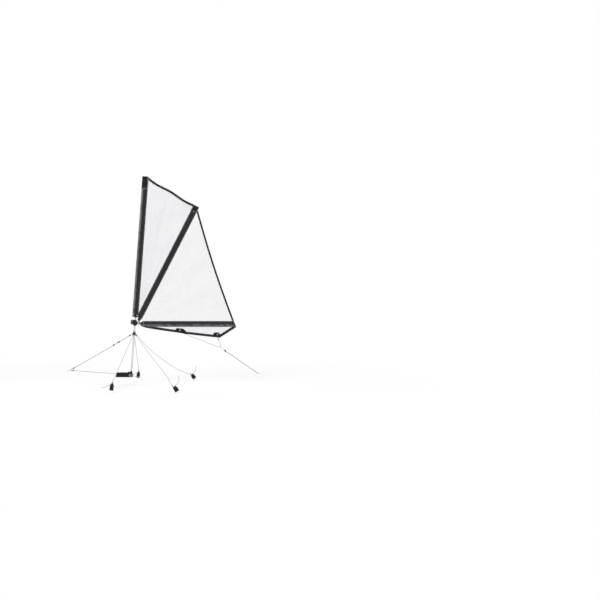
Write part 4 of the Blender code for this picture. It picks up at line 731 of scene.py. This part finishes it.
for step in range(skirt["rows"] + 1):
    share = step / skirt["rows"]
    row = []
    for i, low in enumerate(lower):
        x = lower[0].x + (hit.x - lower[0].x) * i / (len(lower) - 1)
        top = Vector((x, 0, topZ + sail["tuck"]))
        place = Vector((i * skirt["rippleAlong"], share * skirt["rippleDown"], 5))
        wave = skirt["ripple"] * noise.noise(place) * sin(pi * share)
        row.append(top.lerp(low, share) + sideways * wave)
    rows.append(row)
skirtFilm = gridPiece("skirt_film", rows, "sail_film", "boom", ["skirt_panel"], sail["film"],
                      holes=holes)
print("panels done")


def outlinePiece(name, outline, thickness, slot, body, nodes, y=0.0, edge=0.0006, hole=None):
    bm = bmesh.new()
    front = sideways * (y - thickness / 2)
    loops = [[Vector((x, 0, z)) + front for x, z in outline]]
    if hole:
        turns = [2 * pi * i / 24 for i in range(24)]
        loops.append([hole + front + (boomWay * cos(turn) + up * sin(turn)) * eyelets["hole"]
                      for turn in turns])
    for loop in loops:
        verts = [bm.verts.new(point) for point in loop]
        for i, vert in enumerate(verts):
            bm.edges.new((vert, verts[i - 1]))
    bmesh.ops.triangle_fill(bm, use_beauty=True, use_dissolve=False, edges=bm.edges[:])
    grown = bmesh.ops.extrude_face_region(bm, geom=bm.faces[:])["geom"]
    bmesh.ops.translate(bm, verts=[item for item in grown if isinstance(item, bmesh.types.BMVert)],
                        vec=(0, thickness, 0))
    bmesh.ops.recalc_face_normals(bm, faces=bm.faces)
    softenRims(bm, edge)
    return newPiece(name, bm, slot, body, nodes)


def roundedOutline(corners, radius, steps=5):
    points = []
    for i, (x, z) in enumerate(corners):
        point = Vector((x, z))
        before = (Vector(corners[i - 1]) - point).normalized() * radius
        after = (Vector(corners[(i + 1) % len(corners)]) - point).normalized() * radius
        for step in range(steps + 1):
            t = step / steps
            points.append(tuple(point + before * (1 - t)**2 + after * t**2))
    return points


sleeveEnd = boomRoot.x + boom["rows"][-1][0] + sail["seamGap"]
cornerZ = boomRoot.z + boomEdges["top"]
clewFoot = topZ + 2 * sail["seamGap"]
clewOutline = roundedOutline([
    (sleeveEnd, cornerZ), (sail["leechFoot"] + tapes["leech"] / 2, cornerZ), (clew.x, clew.z),
    (clew.x - skirt["clewThick"], clewFoot), (sleeveEnd, clewFoot)], skirt["clewRound"], 4)
outlinePiece("clew_patch_cloth", clewOutline, skirt["clewThick"], "patch_cloth", "boom", ["clew_patch"])
sheetPatches = {
    "fore": {"x": 0.373, "z": 0.3562, "width": 0.106, "height": 0.055, "shares": (
        (0, 0.54), (0.02, 0.87), (0.12, 1), (0.63, 0.9), (0.9, 0.4), (1, 0.18), (0.9, 0),
        (0.58, 0.18))},
    "aft": {"x": 0.688, "z": 0.3325, "width": 0.066, "height": 0.042, "shares": (
        (0, 0.27), (0.06, 0.78), (0.2, 1), (0.65, 1), (1, 0.62), (0.9, 0), (0.72, 0.02))},
}
patchOutlines = []
for word, facts in sheetPatches.items():
    corners = [(facts["x"] + facts["width"] * a, facts["z"] + facts["height"] * b)
               for a, b in facts["shares"]]
    patchOutlines.append(roundedOutline(corners, skirt["patchRound"]))
    outlinePiece("sheet_patch_" + word + "_cloth", patchOutlines[-1],
                 skirt["patchThick"], "patch_cloth", "boom", ["sheet_patch_" + word], hole=eyelets[word])

# Webbing tabs on the hull
tabs = {
    "fore": {"x": -0.0373, "top": 0.001, "turn": -8.0, "width": 0.030, "neck": 0.014, "length": 0.058},
    "aft": {"x": 0.4420, "top": -0.0238, "turn": 34.0, "width": 0.035, "neck": 0.0225, "length": 0.047},
}
tabFacts = {"thick": 0.004, "y": 0.380, "shoulder": 0.36, "round": 0.003, "edge": 0.0009}


def tabPoint(facts, s, t):
    across = Vector((cos(radians(facts["turn"])), sin(radians(facts["turn"]))))
    down = Vector((across.y, -across.x))
    return Vector((facts["x"], facts["top"])) + across * s + down * t


tabOutlines = {}
for word, facts in tabs.items():
    for side, hand in ((-1, "left"), (1, "right")):
        shoulder = facts["length"] * tabFacts["shoulder"]
        local = [(-facts["neck"] / 2, 0), (facts["neck"] / 2, 0), (facts["width"] / 2, shoulder),
                 (facts["width"] / 2, facts["length"]), (-facts["width"] / 2, facts["length"]),
                 (-facts["width"] / 2, shoulder)]
        corners = [tuple(tabPoint(facts, s, t)) for s, t in local]
        node = "tab_" + word + "_" + hand
        tabOutlines[node] = (roundedOutline(corners, tabFacts["round"]), side * tabFacts["y"])
        outlinePiece(node + "_webbing", tabOutlines[node][0],
                     tabFacts["thick"], "webbing", "rigging", [node], side * tabFacts["y"],
                     tabFacts["edge"])
print("patches and tabs done")

# Stitches: short runs of thread on both faces of the cloth, a few millimetres inside its edges
stitch = {"long": 0.0046, "pitch": 0.0062, "thick": 0.0012, "insets": (0.0028, 0.0062), "step": 0.006,
          "lift": 0.0002, "hems": (0.0035, 0.0075), "afterHem": 0.010, "beforeEnd": 0.008,
          "stopShort": 0.002, "clewInset": 0.0032, "patchInset": 0.0036, "tabInset": 0.0050,
          "panelShares": (0.22, 0.80), "footShares": (0.25, 0.8), "skirtShares": (0.14, 0.86)}


def stitchPiece(name, rows, body=None):
    bm = bmesh.new()
    for row in rows:
        whole = lengthOf(row)
        count = max(1, int(whole / stitch["pitch"]))
        gap = whole / count
        wanted, travelled = gap / 2, 0.0
        for a, b in zip(row, row[1:]):
            reach = (b - a).length
            while wanted <= travelled + reach and reach > 0:
                at = a.lerp(b, (wanted - travelled) / reach)
                turn = (b - a).to_track_quat("Z", "Y").to_matrix().to_4x4()
                size = Matrix.Diagonal((stitch["thick"], stitch["thick"], stitch["long"], 1))
                bmesh.ops.create_icosphere(bm, subdivisions=1, radius=0.5,
                                           matrix=Matrix.Translation(at) @ turn @ size)
                wanted += gap
            travelled += reach
    return newPiece(name, bm, "thread", body)


def sleeveRow(spar, start, end, edge, face, inset, extra=0.0):  # edge 1 is aft or low, face -1 near
    row = []
    lift = extra + stitch["lift"]
    count = ceil((end - start) / stitch["step"])
    for i in range(count + 1):
        along = start + (end - start) * i / count
        turn = acos(1 - inset / (halfWidth(spar, along, edge > 0) + lift))
        row.append(sleevePoint(spar, along, (turn if edge > 0 else pi - turn) * face, lift))
    return row


def flatRows(points, thick, closed=True):  # the same line on both faces of a flat piece
    ends = list(points) + ([points[0]] if closed else [])
    off = sideways * (thick / 2 + stitch["lift"] / 2)
    return [[Vector((x, 0, z)) + off * face for x, z in ends] for face in (-1, 1)]


def shrunk(outline, inset):  # an outline drawn in by about the inset
    middle = sum((Vector(point) for point in outline), Vector((0, 0))) / len(outline)
    made = []
    for point in outline:
        reach = middle - Vector(point)
        made.append(tuple(Vector(point) + reach.normalized() * min(inset, reach.length * 0.6)))
    return made


def tapeRows(sides, *shares):
    rows = []
    for share in shares:
        line = [a.lerp(b, share) for a, b in zip(*sides)]
        rows += flatRows([(point.x, point.z) for point in line], tapes["thick"], False)
    return rows


seams = [  # name, spar, start and end, edge, the joint that closes on it
    ("luff_fore", luff, 0.512, patches["head"]["start"], -1, None),
    ("luff_aft", luff, 0.512, patches["head"]["start"], 1, "sprit_fold"),
    ("sprit_fore", sprit, 0.060, patches["peak"]["start"], -1, "sprit_fold"),
    ("sprit_aft", sprit, 0.060, patches["peak"]["start"], 1, "boom_fold"),
    ("boom_upper", boom, 0.024, 0.796, -1, "boom_fold"),
    ("boom_lower", boom, 0.024, 0.796, 1, None),
]
for name, spar, start, end, edge, joint in seams:
    rows = [sleeveRow(spar, start, end - stitch["stopShort"], edge, face, inset)
            for face in (-1, 1) for inset in stitch["insets"]]
    made = stitchPiece(name + "_stitches", rows, spar["body"])
    if joint:
        pressFlat(made)
for word, patch in patches.items():
    spar = patch["spar"]
    start, end = patch["start"] + stitch["afterHem"], patch["end"] - stitch["beforeEnd"]
    rows = [[sleevePoint(spar, patch["start"] + at, 2 * pi * i / 48, patchOff + stitch["lift"])
             for i in range(49)] for at in stitch["hems"]]
    rows += [sleeveRow(spar, start, end, edge, face, inset, patchOff)
             for edge in (-1, 1) for face in (-1, 1) for inset in stitch["insets"]]
    stitchPiece(word + "_patch_stitches", rows, spar["body"])
for panel in panels.values():
    sides = tapeSides(panel["line"], tapes[panel["tape"]], *panel["fan"][1:])
    rows = tapeRows(sides, *stitch["panelShares"])
    fanPiece(stitchPiece(panel["tape"] + "_tape_stitches", rows), *panel["fan"])
rows = tapeRows(footSides, *stitch["footShares"]) + tapeRows(skirtSides, *stitch["skirtShares"])
stitchPiece("skirt_stitches", rows, "boom")
rows = flatRows(shrunk(clewOutline, stitch["clewInset"]), skirt["clewThick"])
for outline in patchOutlines:
    rows += flatRows(shrunk(outline, stitch["patchInset"]), skirt["patchThick"])
stitchPiece("patch_stitches", rows, "boom")
for name, (outline, y) in tabOutlines.items():
    rows = [[point + sideways * y for point in row]
            for row in flatRows(shrunk(outline, stitch["tabInset"]), tabFacts["thick"])]
    stitchPiece(name + "_stitches", rows, "rigging")
print("stitches done")

# Eyelets in the feet of the sleeves, where the cloth is laced to its spar
laces = {"ring": 0.0040, "wire": 0.0013, "lift": 0.0003, "sides": 20, "fill": 0.9, "furthest": 0.98,
         "probe": 0.1, "places": [
    ("luff_fore", luff, 0.0218, 0.5267, None), ("luff_aft", luff, 0.0529, 0.5166, "sprit_fold"),
    ("boom", boom, 0.1067, 0.4561, "boom_fold")]}
for word, spar, x, z, joint in laces["places"]:
    rings, holeShades = bmesh.new(), bmesh.new()
    reach = Vector((x, 0, z)) - spar["root"]
    along, across = reach.dot(spar["way"]), reach.dot(aftOf(spar["way"]))
    for face in (-1, 1):
        share = across / halfWidth(spar, along, False)
        turn = acos(max(-laces["furthest"], min(laces["furthest"], share))) * face
        centre = sleevePoint(spar, along, turn, laces["lift"])
        beyond = sleevePoint(spar, along, turn + laces["probe"] * face, laces["lift"])
        slope = (beyond - centre).normalized()
        loop = [centre + spar["way"] * (laces["ring"] * cos(t)) + slope * (laces["ring"] * sin(t))
                for t in [2 * pi * i / laces["sides"] for i in range(laces["sides"] + 1)]]
        sweep(rings, loop, laces["wire"], 8)
        turned = spar["way"].cross(slope).to_track_quat("Z", "Y").to_matrix().to_4x4()
        # painted shade: a dark cloth disc fills each ring where the hole through the sleeve would show
        # dark
        bmesh.ops.create_cone(holeShades, cap_ends=True, segments=laces["sides"], radius1=laces["ring"],
                              radius2=laces["ring"], depth=laces["wire"] * laces["fill"],
                              matrix=Matrix.Translation(centre) @ turned)
    bmesh.ops.remove_doubles(rings, verts=rings.verts, dist=0.0001)
    for kind, made, slot in (("ring", rings, "stainless_steel"), ("centre", holeShades, "patch_cloth")):
        eyelet = newPiece(word + "_eyelet_" + kind, made, slot, spar["body"])
        if joint:
            pressFlat(eyelet)
print("eyelets done")

# The loop at the bow and the knot on the sheet
bow = {"x": -0.5130, "z": 0.0560, "ring": 0.0075, "wire": 0.0022, "length": 0.0265, "width": 0.011,
       "inset": 0.0025}
inside = Vector((bow["x"] - bow["ring"] + bow["wire"] / 2 + bow["inset"], 0, bow["z"]))
loopWay = Vector((-bow["length"], 0, -bow["ring"])).normalized()
bend = (bow["width"] - bow["wire"]) / 2
straight = bow["length"] - bow["wire"] - 2 * bend
centre = inside + loopWay * (bow["wire"] / 2 + bend)
turns = [pi / 2 + pi * i / 12 for i in range(13)]
loopRoute = [centre + loopWay * (bend * cos(t)) + sideways * (bend * sin(t)) for t in turns]
loopRoute += [centre + loopWay * (straight - bend * cos(t)) - sideways * (bend * sin(t)) for t in turns]
bm = bmesh.new()
sweep(bm, loopRoute + [loopRoute[0]], bow["wire"] / 2, 12)
bmesh.ops.remove_doubles(bm, verts=bm.verts, dist=0.0002)
newPiece("bow_loop_cord", bm, "pale_cord", "rigging", ["bow_loop"])

knot = {"way": -38.7, "low": (0.7500, 0.2535), "inset": 0.0048, "link": 0.0443, "radius": 0.0068,
        "cord": 0.0036, "turns": 3.25, "coil": (0.003, 0.0185), "standing": 0.0262,
        "steps": 72, "waver": 0.0006, "squeeze": 0.94, "tail": (0.004, 0.013), "tailLean": (0.58, 0.7)}
sheetWay = Vector((cos(radians(knot["way"])), 0, sin(radians(knot["way"]))))
side = aftOf(sheetWay)
knotStart = Vector((knot["low"][0], 0, knot["low"][1])) + sheetWay * (knot["link"] - knot["inset"])
bm = bmesh.new()
coil = []
for i in range(knot["steps"] + 1):  # three turns and a quarter round the standing part
    t = i / knot["steps"]
    turn = 2 * pi * knot["turns"] * t
    spread = knot["radius"] - knot["cord"] / 2 - knot["waver"] * cos(2 * pi * t)
    coil.append(knotStart + sheetWay * (knot["coil"][0] + knot["coil"][1] * t)
                + side * (spread * cos(turn)) + sideways * (spread * sin(turn)))
tailWay = -(boomWay * knot["tailLean"][0] + up * knot["tailLean"][1]).normalized()
coil += [coil[-1] + tailWay * reach for reach in knot["tail"]]
sweep(bm, coil, knot["cord"] / 2 * knot["squeeze"], 10, closed=True)
standing = [knotStart + sheetWay * (knot["standing"] * i / 4) for i in range(5)]
sweep(bm, standing, knot["cord"] / 2, 10, closed=True)
newPiece("sheet_knot_cord", bm, "dark_cord", "boom", ["sheet_knot"])
print("loop and knot done")

# Hitches where the lines make fast: turns of cord round the standing part
hitchFacts = {"spacing": 1.02, "steps": 14, "tail": 0.010, "lean": (0.8, 0.4), "shares": (0.4, 0.8)}


def hitchPiece(name, line, start, slot, diameter, turns, bodies):  # start is measured along the line
    travelled, place, way = 0.0, line[0], (line[1] - line[0]).normalized()
    for a, b in zip(line, line[1:]):
        if travelled + (b - a).length >= start:
            place, way = a.lerp(b, (start - travelled) / (b - a).length), (b - a).normalized()
            break
        travelled += (b - a).length
    across = way.orthogonal().normalized()
    over = way.cross(across)
    bm = bmesh.new()
    coil = []
    pitch = diameter * hitchFacts["spacing"]
    for i in range(turns * hitchFacts["steps"] + 1):
        t = i / hitchFacts["steps"]
        around = across * cos(2 * pi * t) + over * sin(2 * pi * t)
        coil.append(place + (way * t + around) * pitch)
    out, along = hitchFacts["lean"]
    coil += [coil[-1] + (over * out + way * along) * (hitchFacts["tail"] * share)
             for share in hitchFacts["shares"]]
    sweep(bm, coil, diameter / 2, 8, closed=True)
    obj = newPiece(name, bm, slot)
    if isinstance(bodies, tuple):
        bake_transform(obj)
    else:
        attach(obj, bodies)


stayBodies = ("rigging", "mast")
forestayLine, foreLine = [[Vector(point) for point in cords[name]["route"]]
                          for name in ("forestay", "fore_line")]
hitches = [  # name, line, place along it, slot, diameter, turns and bodies
    ("forestay_head_hitch", forestayLine, 0.014, "dark_cord", 0.0034, 4, stayBodies),
    ("forestay_stop_knot", forestayLine, 0.172, "dark_cord", 0.0040, 3, stayBodies),
    ("forestay_foot_hitch", forestayLine, 0.560, "dark_cord", 0.0034, 4, stayBodies),
    ("fore_line_hitch", foreLine, 0.008, "pale_cord", 0.0034, 4, "rigging"),
]
for name in ("stay_fore_left", "stay_fore_right", "stay_aft_left", "stay_aft_right"):
    line = smoothRoute(cords[name]["route"], 0.01)
    hitches += [(name + word, line, along, "pale_cord", cordBasics["diameter"], 3, stayBodies)
                for word, along in (("_head_hitch", 0.006), ("_foot_hitch", lengthOf(line) - 0.014))]
for facts in hitches:
    hitchPiece(*facts)

# The clamp knob on the fore side of the tack: fluted, and rounded over at its face
knob = {"place": 0.461, "start": 0.0158, "radius": 0.0212, "seat": 0.82, "sides": 80, "flutes": 10,
        "depth": 0.0011, "narrow": 1.5, "crown": 0.25, "stud": 0.0040, "studStart": 0.0076,
        "studInset": 0.002, "rings": [
            (0.0003, 0.86), (0.0018, 0.95), (0.0045, 0.995), (0.0085, 1.0), (0.0125, 0.965),
            (0.0158, 0.88), (0.0180, 0.74), (0.0192, 0.50), (0.0196, 0.25)]}
foreWay = -aftOf(mastWay)
knobSeat = mastWay * knob["place"]
turned = Matrix((mastWay, sideways, foreWay)).transposed().to_4x4()
bm = bmesh.new()
seat = knobSeat + foreWay * knob["start"]
verts, edges = startRing(bm, knob["radius"] * knob["seat"], knob["sides"],
                         Matrix.Translation(seat) @ turned)
bmesh.ops.contextual_create(bm, geom=verts)
for along, share in knob["rings"]:
    verts, edges, faces = growRing(bm, verts, edges)
    for vert in verts:
        reach = vert.co - knobSeat
        turn = atan2(reach.dot(sideways), reach.dot(mastWay))
        deep = knob["depth"] * (share - knob["crown"]) / (1 - knob["crown"])
        wide = knob["radius"] * share - max(0.0, cos(knob["flutes"] * turn)) ** knob["narrow"] * deep
        vert.co = seat + foreWay * along + (mastWay * cos(turn) + sideways * sin(turn)) * wide
bmesh.ops.contextual_create(bm, geom=verts)
stud = (knob["studStart"], knob["start"], knob["start"] + knob["studInset"])
sweep(bm, [knobSeat + foreWay * at for at in stud], knob["stud"], 20, closed=True)
# its grey is painted highlight: a lighter copy of the black nylon
newPiece("tack_knob_moulding", bm, "painted_lit_nylon", "luff", ["tack_knob"])

# The forestay's adjuster, on the cord that it grips: made from the frame's mesh and baked in place like
# that cord
bm = bmesh.new()
bm.from_mesh(frame["nodes"]["forestay_adjuster"].data)
bm.transform(frame["nodes"]["forestay_adjuster"].matrix_world)
bmesh.ops.remove_doubles(bm, verts=bm.verts, dist=0.00001)
adjuster = newPiece("forestay_adjuster_moulding", bm, "moulded_nylon", None, ["forestay_adjuster"])
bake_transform(adjuster)

# The pin's dark bush on each side of the foot
bush = {"x": -0.002, "z": 0.0155, "radius": 0.0066, "thick": 0.0022, "y": 0.0203, "edge": 0.0006}
bm = bmesh.new()
for face in (-1, 1):
    place = Matrix.Translation((bush["x"], bush["y"] * face, bush["z"]))
    bmesh.ops.create_cone(bm, cap_ends=True, segments=32, radius1=bush["radius"],
                          radius2=bush["radius"], depth=bush["thick"],
                          matrix=place @ Matrix.Rotation(pi / 2, 4, "X"))
softenRims(bm, bush["edge"])
newPiece("pin_bushes", bm, "moulded_nylon", "rigging")
print("hitches and bushes done")


# Floor, backdrop and lamps

def backdropRays(owner):  # 1 for a ray that sees the backdrop: straight, off metal or through film
    rays = addNode(owner, "LightPath")
    seen = addNode(owner, "Math", [(0, rays, "Is Camera Ray"), (1, rays, "Is Glossy Ray")],
                   operation="MAXIMUM")
    return addNode(owner, "Math", [(0, seen, "Value"), (1, rays, "Is Transmission Ray")],
                   operation="MAXIMUM")


stage = {"floor": cadBox[0][2] - 0.004, "size": 40.0, "shade": 0.5, "near": 1.0, "far": 3.0,
         "sky": 0.62}
white = (1, 1, 1, 1)
bm = bmesh.new()
bmesh.ops.create_grid(bm, x_segments=2, y_segments=2, size=stage["size"],
                      matrix=Matrix.Translation((0, 0, stage["floor"])))
floor = meshObject("floor", bm)
paper = bpy.data.materials.new("studio_paper")
paper.use_nodes = True
paper.node_tree.nodes.clear()
through = backdropRays(paper)
level = addNode(paper, "Math", [(0, through, "Value")], {1: stage["shade"]}, operation="MULTIPLY")
glow = addNode(paper, "Emission", [("Strength", level, "Value")], {"Color": white})
matt = addNode(paper, "BsdfDiffuse", inputs={"Color": (stage["shade"],) * 3 + (1,)})
both = addNode(paper, "AddShader", [(0, glow, "Emission"), (1, matt, "BSDF")])
plain = addNode(paper, "Emission", [("Strength", through, "Value")], {"Color": white})
away = addNode(paper, "VectorMath", [(0, addNode(paper, "TexCoord"), "Object")], operation="LENGTH")
lighten = addNode(paper, "MapRange", [("Value", away, "Value")], interpolation_type="SMOOTHSTEP",
               inputs={"From Min": stage["near"], "From Max": stage["far"]})
blended = addNode(paper, "MixShader",
                  [("Fac", lighten, "Result"), (1, both, "Shader"), (2, plain, "Emission")])
addNode(paper, "OutputMaterial", [("Surface", blended, "Shader")])
floor.data.materials.append(paper)

world = bpy.data.worlds.new("studio")
world.use_nodes = True
bpy.context.scene.world = world
world.node_tree.nodes.clear()
soft = addNode(world, "MapRange", [("Value", backdropRays(world), "Value")],
               {"To Min": stage["sky"], "To Max": 1.0})
sky = addNode(world, "Background", [("Strength", soft, "Result")], {"Color": white})
addNode(world, "OutputWorld", [("Surface", sky, "Background")])

lamps = {  # soft boxes
    "key": {"at": (-1.6, -3.6, 3.4), "target": (0.4, 0, 0.6), "size": 2.4, "power": 95},
    "fill": {"at": (3.4, -2.6, 1.6), "target": (0.5, 0, 0.6), "size": 2.0, "power": 30},
    "rim": {"at": (0.6, 3.4, 3.2), "target": (0.4, 0, 0.6), "size": 2.0, "power": 45},
}
for name, facts in lamps.items():
    data = bpy.data.lights.new(name, "AREA")
    data.shape = "DISK"
    data.size = facts["size"]
    data.energy = facts["power"]
    lamp = bpy.data.objects.new(name, data)
    lamp.location = facts["at"]
    aim = Vector(facts["target"]) - Vector(facts["at"])
    lamp.rotation_euler = aim.to_track_quat("-Z", "Y").to_euler()
    bpy.context.scene.collection.objects.link(lamp)
print("studio done")
